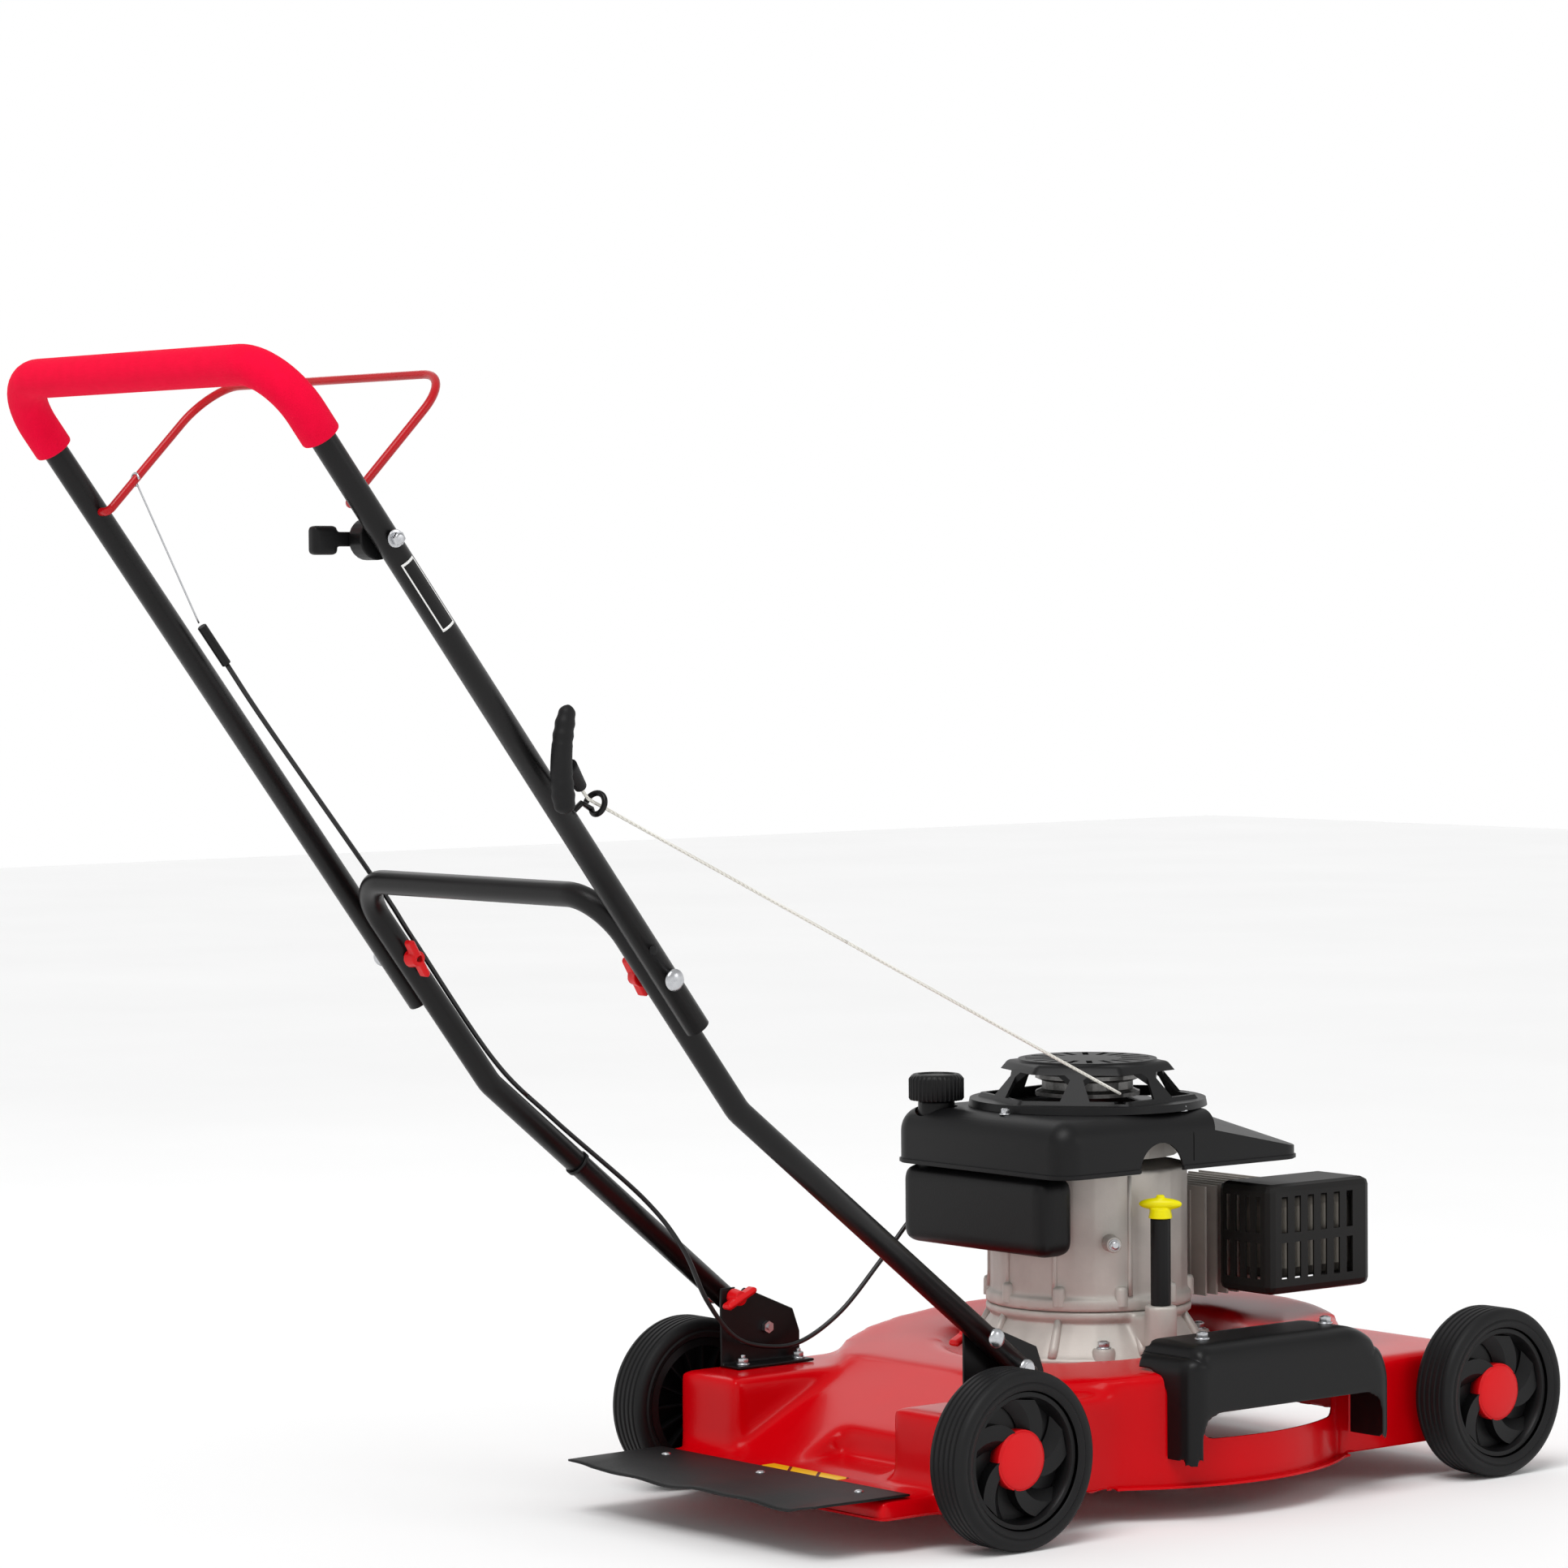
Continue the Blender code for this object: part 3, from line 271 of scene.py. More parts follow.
guide = Vector((0.2300, -0.4390, 0.7410))
rope_exit = Vector((0.1000, 0.3290, 0.4160))
rope_way = (guide - rope_exit).normalized()
grip_centre = Vector((0.2520, -0.4930, 0.7830))
knot = guide + rope_way * 0.012
to_grip = (grip_centre - knot).normalized()
hinge_pass = rope_exit.lerp(guide, 0.55)
rope_run = smooth_path([rope_exit.lerp(hinge_pass, i / 8) for i in range(9)], 0.02)
past_hinge = [hinge_pass.lerp(guide, share) for share in (0, 0.4, 0.8)]
rope_whole = smooth_path([*past_hinge, guide - rope_way * 0.012, knot, knot + to_grip * 0.0177], 0.01)
past_guide = next(i for i, p in enumerate(rope_whole) if (p - knot).dot(to_grip) > 0.003)
rope_rest = rope_whole[: past_guide + 1]
# The last of it, the part that the grip draws out when pulled, runs straight to the grip and is made as a
# piece of its own.
rope_drawn = [rope_rest[-1].lerp(rope_whole[-1], i / 6) for i in range(7)]
drawn_end = finished(sweep("starter_rope_drawn", rope_drawn, ROPE_R, 10), braided_nylon, "rope")
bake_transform(drawn_end)
for name, path, below, above, ends in (
    ("starter_rope_lower", rope_run, "chassis", "lower_frame", []),
    ("starter_rope_upper", rope_rest, "lower_frame", "upper_frame", [drawn_end]),
):
    stretch = finished(sweep(name, path, ROPE_R, 10), braided_nylon, "rope")
    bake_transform(stretch)
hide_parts("starter_rope")

# Deck: one deep-drawn steel pressing, 2.4 mm thick, with a scooped back, a round blade chamber and a well for
# the engine. It is sprayed with red gloss enamel and baked, which leaves a faint orange peel.
red_enamel, tree, shader, place = new_material("baked_gloss_enamel")
ORANGE_PEEL = 0.004
peel = node(tree, "TexNoise", {"Vector": place, "Scale": 1 / ORANGE_PEEL, "Detail": 1.5})
bump = node(tree, "Bump", {"Height": peel.outputs[0], "Strength": 0.05, "Distance": 0.0004})
dust = node(tree, "TexNoise", {"Vector": place, "Scale": 14.0, "Detail": 6.0})
wipe = node(tree, "ValToRGB", {0: dust.outputs[0]}, ("#BE0008", "#CA000C"))
rough = node(tree, "MapRange", {"Value": dust.outputs[0], "To Min": 0.20, "To Max": 0.30})
feed(shader, {"Base Color": wipe.outputs[0], "Roughness": rough.outputs[0], "Normal": bump.outputs[0],
              "Coat Weight": 0.06, "Coat Roughness": 0.06, "Specular IOR Level": 0.10})

ENGINE_Y = 0.375
SKIRT_Z = 0.036
STEEL = 0.0024


def box_shape(shape, low, high, turn=None):
    low, high = Vector(low), Vector(high)
    size = Matrix.Diagonal((*(high - low), 1))
    place = (turn or Matrix()) @ Matrix.Translation((low + high) / 2)
    bmesh.ops.create_cube(shape, size=1, matrix=place @ size)


def apply_modifiers(obj):
    """Turns the evaluated mesh into the object's own."""
    bpy.context.view_layer.update()
    mesh = bpy.data.meshes.new_from_object(obj.evaluated_get(bpy.context.evaluated_depsgraph_get()))
    obj.modifiers.clear()
    obj.data = mesh
    return obj


def combine(obj, other, operation):
    """Adds, cuts or intersects a helper shape, and removes it."""
    modifier = obj.modifiers.new("combine", "BOOLEAN")
    modifier.operation = operation
    modifier.object = other
    apply_modifiers(obj)
    bpy.data.objects.remove(other)
    return obj


def softened(obj, voxel, rounds):
    """Remeshes to even small faces and relaxes them, which rounds each edge as pressing or moulding does."""
    modifier = obj.modifiers.new("remesh", "REMESH")
    modifier.mode = "VOXEL"
    modifier.voxel_size = voxel
    modifier = obj.modifiers.new("relax", "SMOOTH")
    modifier.factor = 0.5
    modifier.iterations = rounds
    return apply_modifiers(obj)


def disc_shape(shape, centre, low, high, radius, top_radius=None, sides=64):
    matrix = Matrix.Translation((centre[0], centre[1], (low + high) / 2))
    top_radius = radius if top_radius is None else top_radius
    bmesh.ops.create_cone(shape, cap_ends=True, segments=sides, radius1=radius, radius2=top_radius,
                          depth=high - low, matrix=matrix)


def disc_piece(name, centre, low, high, radius, top_radius=None, sides=96):
    shape = bmesh.new()
    disc_shape(shape, centre, low, high, radius, top_radius, sides)
    return mesh_piece(name, shape)


def box_piece(name, low, high, turn=None):
    shape = bmesh.new()
    box_shape(shape, low, high, turn)
    return mesh_piece(name, shape)


LOW = -0.02  # below the skirt's edge, where the whole form is trimmed later
STEP_Z = 0.0535
deck = box_piece("deck_shell", (-0.2125, -0.005, LOW), (0.2125, 0.748, 0.130))
combine(deck, box_piece("step", (-0.200, -0.078, LOW), (0.200, 0.05, STEP_Z)), "UNION")
shape = bmesh.new()
disc_shape(shape, (0, ENGINE_Y), LOW, 0.1565, 0.262)
for vertex in shape.verts:
    if vertex.co.z > 0:
        vertex.co.z += 0.0744 * (vertex.co.y - ENGINE_Y)
combine(deck, mesh_piece("ring", shape), "UNION")
combine(deck, disc_piece("well", (0, ENGINE_Y), 0.137, 0.30, 0.150, 0.21, 64), "DIFFERENCE")
# The scoop: an S-sided hollow in the back, with a deeper pocket on its right.
slope = math.atan2(0.130 - STEP_Z, 0.150)
turn = Matrix.Translation((0, -0.010, STEP_Z)) @ Matrix.Rotation(slope, 4, "X")
scoop = box_piece("scoop", (-0.118, -0.2, 0), (0.128, 0.4, 0.3), turn)
turn = Matrix.Translation((0, 0.0, 0.062))
combine(scoop, box_piece("pocket", (-0.020, -0.2, -0.004), (0.105, 0.055, 0.3), turn), "UNION")
combine(scoop, box_piece("scoop_end", (-0.3, -0.3, -0.1), (0.3, 0.160, 0.4)), "INTERSECT")
combine(scoop, box_piece("scoop_floor", (-0.3, -0.3, -0.3), (0.3, 0.3, STEP_Z)), "DIFFERENCE")
combine(deck, scoop, "DIFFERENCE")
softened(deck, 0.004, 34)
shape = bmesh.new()
shape.from_mesh(deck.data)
bmesh.ops.bisect_plane(shape, geom=[*shape.verts, *shape.edges, *shape.faces], plane_co=(0, 0, SKIRT_Z),
                       plane_no=(0, 0, -1), clear_outer=True)
rim = [edge for edge in shape.edges if edge.is_boundary]
# The skirt's edge is turned out into a 10 mm flange round the blade chamber.
flange = bmesh.ops.extrude_edge_only(shape, edges=rim)["geom"]
for vertex in {item for item in flange if isinstance(item, bmesh.types.BMVert)}:
    away = Vector((vertex.co.x, vertex.co.y - ENGINE_Y, 0))
    if abs(away.length - 0.261) < 0.006:
        vertex.co += away.normalized() * 0.009
    else:
        vertex.co.z += 0.0004
bpy.data.objects.remove(deck)
deck = mesh_piece("deck_shell", shape)
skin = deck.modifiers.new("sheet", "SOLIDIFY")
skin.thickness = STEEL
skin.offset = -1
apply_modifiers(deck)
# The discharge mouth, on the right.
mouth = box_piece("mouth", (0.16, 0.300, 0.080), (0.30, 0.510, 0.146))
rounding = mouth.modifiers.new("round", "BEVEL")
rounding.width = 0.012
rounding.segments = 4
combine(deck, apply_modifiers(mouth), "DIFFERENCE")
finished(deck, red_enamel, "red_enamel", "chassis", "deck", sharp=40)

# Rear flap: black rubber cut from 2 mm sheet, held by three rivets through the step. It juts back over the
# grass and ripples a little. Rubber sheet is dull, and scuffed along its length.
sheet_rubber, tree, shader, place = new_material("sheet_rubber")
grain = node(tree, "TexNoise", {"Vector": place, "Scale": 1 / 0.003, "Detail": 4.0})
drawn_out = node(tree, "Mapping", {"Vector": place, "Scale": (8, 60, 60)})
scuffs = node(tree, "TexNoise", {"Vector": drawn_out.outputs[0], "Scale": 1.0, "Detail": 5.0})
tone = node(tree, "ValToRGB", {0: scuffs.outputs[0]}, ("#0C0C0D", "#1A1A1B"))
bump = node(tree, "Bump", {"Height": grain.outputs[0], "Strength": 0.35, "Distance": 0.0004})
feed(shader, {"Base Color": tone.outputs[0], "Normal": bump.outputs[0], "Roughness": 0.50,
              "Specular IOR Level": 0.22})
flap_low, flap_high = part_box("rear_flap")
FLAP_COLUMNS = 72
FLAP_THICKNESS = 0.002
side_line = smooth_path(
    [(0, -0.040, 0.0552), (0, -0.080, 0.0552), (0, -0.112, 0.0545), (0, -0.140, 0.0525), (0, -0.160, 0.0500)],
    0.006,
)
shape = bmesh.new()
rows = []
for point in side_line:
    free = max(0.0, (-point.y - 0.085) / 0.08)
    row = []
    for j in range(FLAP_COLUMNS + 1):
        along = j / FLAP_COLUMNS
        x = flap_low.x + 0.001 + (flap_high.x - flap_low.x - 0.002) * along
        ripple = 0.0016 * math.sin(33 * x) + 0.0010 * math.sin(71 * x + 1.0)
        curl = -0.0060 * max(0.0, abs(2 * along - 1) - 0.80) / 0.20
        row.append(shape.verts.new((x, point.y, point.z + free * ripple - free**2 * curl)))
    rows.append(row)
for row, following in zip(rows, rows[1:]):
    for j in range(FLAP_COLUMNS):
        shape.faces.new((row[j], row[j + 1], following[j + 1], following[j]))
flap = mesh_piece("rear_flap_sheet", shape)
skin = flap.modifiers.new("sheet", "SOLIDIFY")
skin.thickness = FLAP_THICKNESS
skin.offset = 0
finished(apply_modifiers(flap), sheet_rubber, "black_rubber", "chassis", "rear_flap")

# Bright fasteners: steel rivets, carriage bolts and flanged hexagon bolts, cold pressed and zinc plated.
# The plating is a bright pale grey, with a bloom that varies its gloss.
zinc_plated, tree, shader, place = new_material("zinc_plated_steel")
bloom = node(tree, "TexNoise", {"Vector": place, "Scale": 1 / 0.004, "Detail": 3.0})
tone = node(tree, "ValToRGB", {0: bloom.outputs[0]}, ("#A9ABAF", "#D5D6D8"))
rough = node(tree, "MapRange", {"Value": bloom.outputs[0], "To Min": 0.22, "To Max": 0.36})
feed(shader, {"Base Color": tone.outputs[0], "Roughness": rough.outputs[0], "Metallic": 1.0})


def turned(name, profile, steps=48):
    """A shape turned about Z from a profile of radius and height, closed where it meets the axis."""
    shape = bmesh.new()
    columns = []
    for i in range(steps):
        turn = math.tau * i / steps
        columns.append([shape.verts.new((r * math.cos(turn), r * math.sin(turn), z)) for r, z in profile])
    for i in range(steps):
        here, there = columns[i], columns[(i + 1) % steps]
        for a, b, c, d in zip(here, there, there[1:], here[1:]):
            shape.faces.new((a, b, c, d))
    bmesh.ops.remove_doubles(shape, verts=shape.verts, dist=1e-6)
    return mesh_piece(name, shape)


def facing(point, way):
    """Stands a Z-up shape at a point, turned to face the way given."""
    return Matrix.Translation(point) @ Vector(way).to_track_quat("Z", "X").to_matrix().to_4x4()


def hex_bolt(name, point, way, size, body, washer=1.25, standing=0.0):
    """A flanged hexagon head, size metres across, with the end of a thread if standing gives its height."""
    # The washer, the hexagon, its chamfer and the thread: sides, low and high radius, height and middle.
    stages = [
        (28, size * washer / 1.7, size * washer / 1.8, size * 0.14, size * 0.07),
        (6, size / 1.73, size / 1.73, size * 0.5, size * 0.39),
        (20, size * 0.46, size * 0.30, size * 0.10, size * 0.69),
    ]
    if standing:
        stages.append((16, size * 0.27, size * 0.24, standing, size * 0.7 + standing / 2))
    shape = bmesh.new()
    for sides, low_r, high_r, height, middle in stages:
        bmesh.ops.create_cone(shape, cap_ends=True, segments=sides, radius1=low_r, radius2=high_r,
                              depth=height, matrix=Matrix.Translation((0, 0, middle)))
    bolt = mesh_piece(name, shape)
    bolt.data.transform(facing(point, way))
    rounding = bolt.modifiers.new("round", "BEVEL")
    rounding.width = size * 0.03
    rounding.segments = 2
    finished(apply_modifiers(bolt), zinc_plated, "bright_steel", body)
    bolt.data.set_sharp_from_angle(angle=math.radians(30))
    return bolt


def dome(name, point, way, radius, height, body, material=zinc_plated, slot_name="bright_steel"):
    """A rivet's or carriage bolt's round head."""
    profile = [(radius * math.cos(t), height * math.sin(t)) for t in (math.pi / 2 * i / 7 for i in range(8))]
    head = turned(name, [(0, -0.0006), (radius, -0.0006), *profile[:-1], (0, height)], 28)
    head.data.transform(facing(point, way))
    return finished(head, material, slot_name, body)


for side, x in (("left", -0.153), ("middle", 0.0), ("right", 0.153)):
    dome(f"flap_rivet_{side}", (x, -0.068, 0.0562), (0, 0, 1), 0.0048, 0.0022, "chassis")
for side, sign in (("left", -1), ("right", 1)):
    for end, y in (("rear", 0.052), ("front", 0.126)):
        spot = (sign * 0.177, y, 0.1338)
        hex_bolt(f"bracket_bolt_{end}_{side}", spot, (0, 0, 1), 0.0100, "chassis", standing=0.003)

# Wheels: polypropylene rims with five swept blades in front and sixteen stiffening ribs behind, rubber tyres
# with five grooves pulled over them, and a red cap snapped over the bolt.
moulded_rubber, tree, shader, place = new_material("moulded_rubber")
pits = node(tree, "TexNoise", {"Vector": place, "Scale": 1 / 0.0018, "Detail": 3.0})
chalk = node(tree, "TexNoise", {"Vector": place, "Scale": 22.0, "Detail": 5.0})
tone = node(tree, "ValToRGB", {0: chalk.outputs[0]}, ("#0D0D0E", "#171718"))
bump = node(tree, "Bump", {"Height": pits.outputs[0], "Strength": 0.3, "Distance": 0.0003})
feed(shader, {"Base Color": tone.outputs[0], "Normal": bump.outputs[0], "Roughness": 0.55,
              "Specular IOR Level": 0.22})


def moulded_plastic(name, dark, light, roughness, grain_mm, depth):
    """An injection-moulded plastic: spark-eroded grain of the mould, and a colour that drifts a little."""
    material, tree, shader, place = new_material(name)
    grain = node(tree, "TexNoise", {"Vector": place, "Scale": 1000 / grain_mm, "Detail": 2.0})
    drift = node(tree, "TexNoise", {"Vector": place, "Scale": 9.0, "Detail": 4.0})
    tone = node(tree, "ValToRGB", {0: drift.outputs[0]}, (dark, light))
    bump = node(tree, "Bump", {"Height": grain.outputs[0], "Strength": depth, "Distance": 0.0003})
    reach = {"To Min": roughness - 0.04, "To Max": roughness + 0.06}
    gloss = node(tree, "MapRange", {"Value": drift.outputs[0], **reach})
    feed(shader, {"Base Color": tone.outputs[0], "Roughness": gloss.outputs[0], "Normal": bump.outputs[0],
                  "Specular IOR Level": 0.22})
    return material


black_polypropylene = moulded_plastic("black_polypropylene", "#09090A", "#111112", 0.38, 1.6, 0.18)
red_polypropylene = moulded_plastic("red_polypropylene", "#C8060E", "#D60C14", 0.36, 2.0, 0.10)

TREAD_R, GROOVE_DEPTH, GROOVE_HALF = 0.0885, 0.0016, 0.0011
tread = []
for i in range(5):
    centre = 0.0144 - 0.0072 * i
    tread += [(TREAD_R, centre + GROOVE_HALF + 0.0006), (TREAD_R - GROOVE_DEPTH, centre + GROOVE_HALF * 0.6),
              (TREAD_R - GROOVE_DEPTH, centre - GROOVE_HALF * 0.6), (TREAD_R, centre - GROOVE_HALF - 0.0006)]
sidewall = [(0.0684, 0.0205), (0.0700, 0.0225), (0.0745, 0.0240), (0.0765, 0.0228), (0.0785, 0.0240),
            (0.0830, 0.0238), (0.0862, 0.0222), (0.0880, 0.0196)]
TYRE = [*sidewall, *tread, *[(r, -z) for r, z in reversed(sidewall)], (0.0684, 0.0)]
RIM = [(0.0085, 0.0170), (0.0200, 0.0165), (0.0235, 0.0120), (0.0240, 0.0020), (0.0590, 0.0010),
       (0.0608, 0.0150), (0.0625, 0.0180), (0.0668, 0.0180), (0.0679, 0.0165), (0.0679, -0.0205),
       (0.0600, -0.0215), (0.0590, -0.0060), (0.0170, -0.0060), (0.0165, -0.0390), (0.0085, -0.0395),
       (0.0085, 0.0170)]
BLADES, BLADE_SWEEP, RIBS = 5, math.radians(38), 16


def rim_shape():
    """The rim's turned body with its blades and ribs, about its own axis, outer face up."""
    rim = turned("rim_pattern", RIM, 96)
    shape = bmesh.new()
    shape.from_mesh(rim.data)
    bpy.data.objects.remove(rim)
    steps = 9
    for blade in range(BLADES):
        rings = []
        for i in range(steps + 1):
            share = i / steps
            reach = 0.0215 + (0.0600 - 0.0215) * share
            middle = math.tau * blade / BLADES + BLADE_SWEEP * share**1.2
            half = math.radians(26 - 6 * share)
            outline = ((-half, 0.0000), (-half, 0.0150 - 0.002 * share), (0.2 * half, 0.0125), (half, 0.0035),
                       (half, 0.0))
            ring = []
            for turn, height in outline:
                spot = (reach * math.cos(middle + turn), reach * math.sin(middle + turn), height)
                ring.append(shape.verts.new(spot))
            rings.append(ring)
        for ring, following in zip(rings, rings[1:]):
            for j in range(len(ring)):
                k = (j + 1) % len(ring)
                shape.faces.new((ring[j], following[j], following[k], ring[k]))
        shape.faces.new(rings[0])
        shape.faces.new(rings[-1][::-1])
    for rib in range(RIBS):
        turn = Matrix.Rotation(math.tau * rib / RIBS, 4, "Z")
        box_shape(shape, (0.0165, -0.0009, -0.0200), (0.0595, 0.0009, -0.0055), turn)
    return shape


TYRE_MESH = turned("tyre_pattern", TYRE, 128)
for end in ("rear", "front"):
    for side, sign in (("left", -1), ("right", 1)):
        wheel = f"{end}_{side}"
        low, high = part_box(f"wheel_tyre_{wheel}")
        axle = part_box(f"wheel_rim_{wheel}")
        middle = Vector(((low.x + high.x) / 2, (low.y + high.y) / 2, (axle[0].z + axle[1].z) / 2))
        stand = Matrix.Translation(middle) @ Matrix.Rotation(sign * math.pi / 2, 4, "Y")
        tyre = bpy.data.objects.new(f"tyre_{wheel}", TYRE_MESH.data.copy())
        bpy.context.scene.collection.objects.link(tyre)
        tyre.data.transform(stand)
        finished(tyre, moulded_rubber, "tyre_rubber", f"wheel_{wheel}", f"wheel_tyre_{wheel}", sharp=38)
        rim = mesh_piece(f"rim_{wheel}", rim_shape())
        rim.data.transform(stand)
        finished(rim, black_polypropylene, "black_plastic", f"wheel_{wheel}", f"wheel_rim_{wheel}",
                 sharp=35)
        cap_low, cap_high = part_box(f"hub_cap_{wheel}")
        outer = cap_high.x if sign > 0 else cap_low.x
        inner = cap_low.x if sign > 0 else cap_high.x
        # The cap swells 5 mm, with a rounded skirt where it meets the hub.
        depth, radius, arc = abs(outer - inner), 0.0300, [math.pi / 2 * i / 10 for i in range(11)]
        edge = [(radius - 0.0012 + 0.0012 * math.cos(t), depth - 0.0058 + 0.0012 * math.sin(t)) for t in arc]
        swell = [((radius - 0.0012) * math.cos(t), depth - 0.0046 + 0.0046 * math.sin(t)) for t in arc[1:]]
        cap = turned(f"cap_{wheel}", [(0, 0), (radius, 0), *edge, *swell], 64)
        cap.data.transform(facing(Vector((inner, middle.y, middle.z)), (sign, 0, 0)))
        finished(cap, red_polypropylene, "red_plastic", f"wheel_{wheel}", f"hub_cap_{wheel}")
bpy.data.objects.remove(TYRE_MESH)

# Handle brackets: 3 mm steel plate folded into an L, stood on the deck's rear shoulders and held by two
# hexagon bolts each. They are powder coated black, which is smooth with a low sheen.
powder_coat, tree, shader, place = new_material("powder_coated_steel")
POWDER_GRAIN = 0.0012
grain = node(tree, "TexNoise", {"Vector": place, "Scale": 1 / POWDER_GRAIN, "Detail": 2.0})
scuffs = node(tree, "TexNoise", {"Vector": place, "Scale": 18.0, "Detail": 7.0})
tone = node(tree, "ValToRGB", {0: scuffs.outputs[0]}, ("#0B0A0A", "#151415"))
gloss = node(tree, "MapRange", {"Value": scuffs.outputs[0], "To Min": 0.27, "To Max": 0.40})
bump = node(tree, "Bump", {"Height": grain.outputs[0], "Strength": 0.12, "Distance": 0.0003})
feed(shader, {"Base Color": tone.outputs[0], "Roughness": gloss.outputs[0], "Normal": bump.outputs[0],
              "Specular IOR Level": 0.22})


def rounded_from(node_name, name, voxel, rounds, material, slot_name, body):
    """A copy of a CAD piece with the rounded edges that its making leaves, standing for that piece."""
    copy = bpy.data.objects.new(name, bpy.data.objects[node_name].data.copy())
    bpy.context.scene.collection.objects.link(copy)
    softened(copy, voxel, rounds)
    return finished(copy, material, slot_name, body, node_name)


def edged(node_name, material, width=0.0004):
    """Gives a CAD piece its real material and a broken edge that catches the light."""
    obj = bpy.data.objects[node_name]
    for holder in obj.material_slots:
        holder.material = material
    rounding = obj.modifiers.new("edge", "BEVEL")
    rounding.width = width
    rounding.segments = 2
    rounding.limit_method = "ANGLE"
    rounding.angle_limit = math.radians(40)


for side in ("left", "right"):
    rounded_from(f"handle_bracket_{side}", f"bracket_{side}", 0.0009, 3, powder_coat, "black_paint",
                 "chassis")

# Lower handle: one 24 mm steel tube bent into a U, its feet inside the brackets, powder coated as they are.
TUBE_R = 0.012


def bent(corners, radius, steps=14):
    """The corners' path with each inner corner rounded to the radius."""
    corners = [Vector(corner) for corner in corners]
    path = [corners[0]]
    for before, corner, after in zip(corners, corners[1:], corners[2:]):
        to_before, to_after = (before - corner).normalized(), (after - corner).normalized()
        half = to_before.angle(to_after) / 2
        reach = radius / math.tan(half)
        centre = corner + (to_before + to_after).normalized() * radius / math.sin(half)
        first = (corner + to_before * reach - centre).normalized()
        last = (corner + to_after * reach - centre).normalized()
        path += [centre + first.slerp(last, i / steps) * radius for i in range(steps + 1)]
    return [*path, corners[-1]]


def mirrored(points):
    return [Vector((-p.x, p.y, p.z)) for p in reversed(points)]


lower_pivot, lower_bend = Vector((0, 0.093, 0.168)), Vector((0, -0.252, 0.444))
foot = lower_pivot + (lower_pivot - lower_bend).normalized() * 0.0155
LOWER_X, UPPER_X, HEAD_R, HEAD_HEIGHT = 0.1995, 0.2240, 0.0098, 0.0048
leg = [Vector((0.2078, foot.y, foot.z)), Vector((LOWER_X, -0.252, 0.444)), Vector((LOWER_X, -0.4125, 0.6535))]
lower_path = bent([*leg, *mirrored(leg)], 0.050)
lower_tube = sweep("lower_tube", lower_path, TUBE_R, 36)
finished(lower_tube, powder_coat, "black_paint", "lower_frame", "lower_handle")
for side, sign in (("left", -1), ("right", 1)):
    point = Vector((sign * 0.2190, 0.093, 0.168))
    dome(f"pivot_head_{side}", point, (sign, 0, 0), HEAD_R, HEAD_HEIGHT, "lower_frame")
    edged(f"pivot_bolt_{side}", zinc_plated)
    point = (sign * 0.2236, 0.050, 0.2025)
    dome(f"lower_head_{side}", point, (sign, 0, 0), HEAD_R, HEAD_HEIGHT, f"lower_wing_{side}")

# Upper handle: a wider U of the same tube outside the lower one, held by a carriage bolt through both on
# each side. Its legs are open at the bottom.
UPPER_BEND = 0.055
grip_corner = Vector((UPPER_X, -0.7826, 1.1367))
leg = [Vector((UPPER_X, -0.319, 0.528)), grip_corner]
upper_path = bent([*leg, *mirrored(leg)], UPPER_BEND)
upper_tube = sweep("upper_tube", upper_path, TUBE_R, 36)
finished(upper_tube, powder_coat, "black_paint", "upper_frame", "upper_handle")
for side, sign in (("left", -1), ("right", 1)):
    dome(f"upper_head_{side}", (sign * 0.2362, -0.355, 0.575), (sign, 0, 0), 0.0105, 0.0052, "upper_frame")
    edged(f"upper_bolt_{side}", zinc_plated)
    plug_hole = Vector((sign * 0.2358, -0.379, 0.604))
    dome(f"hole_plug_{side}", plug_hole, (sign, 0, 0), 0.0046, 0.0012, "upper_frame", black_polypropylene,
         "black_plastic")

# Foam grip: a crimson sleeve of closed-cell foam rubber, slid over the grip bar and its corners. Its skin is
# dull, with fine cut cells.
foam_rubber, tree, shader, place = new_material("closed_cell_foam")
CELL = 0.0009
cells = node(tree, "TexVoronoi", {"Vector": place, "Scale": 1 / CELL})
lumps = node(tree, "TexNoise", {"Vector": place, "Scale": 90.0, "Detail": 4.0})
height = node(tree, "Math", {0: cells.outputs["Distance"], 1: lumps.outputs[0]}, operation="ADD")
tone = node(tree, "ValToRGB", {0: lumps.outputs[0]}, ("#DE0030", "#EE0038"))
bump = node(tree, "Bump", {"Height": height.outputs[0], "Strength": 0.35, "Distance": 0.0005})
feed(shader, {"Base Color": tone.outputs[0], "Normal": bump.outputs[0], "Roughness": 0.85,
              "Specular IOR Level": 0.12})
FOAM_R, SLEEVE_DROP = 0.0185, 0.081
sleeve_half = [grip_corner - leg_way * SLEEVE_DROP, grip_corner]
sleeve = bent([*sleeve_half, *mirrored(sleeve_half)], UPPER_BEND)
lip = [(0.0, 0.0160), (0.0010, 0.0178), (0.0026, FOAM_R)]
near = [sleeve[0] + leg_way * reach for reach, _ in lip]
far = [sleeve[-1] + leg_way * reach for reach, _ in reversed(lip)]
lip_radii = [r for _, r in lip]
radii = [*lip_radii, *[FOAM_R] * (len(sleeve) - 2), *lip_radii[::-1]]
foam = sweep("foam_sleeve", [*near, *sleeve[1:-1], *far], radii, 40)
finished(foam, foam_rubber, "crimson_foam", "upper_frame", "foam_grip")

# Wing knobs: red polypropylene moulded over a nut, with two wings for the fingers. The lower pair locks the
# legs to the brackets and the upper pair clamps the two handles together.
for side in ("left", "right"):
    for level in ("lower", "upper"):
        rounded_from(f"{level}_knob_{side}", f"{level}_wing_{side}_moulding", 0.0007, 6, red_polypropylene,
                     "red_plastic", f"{level}_wing_{side}")

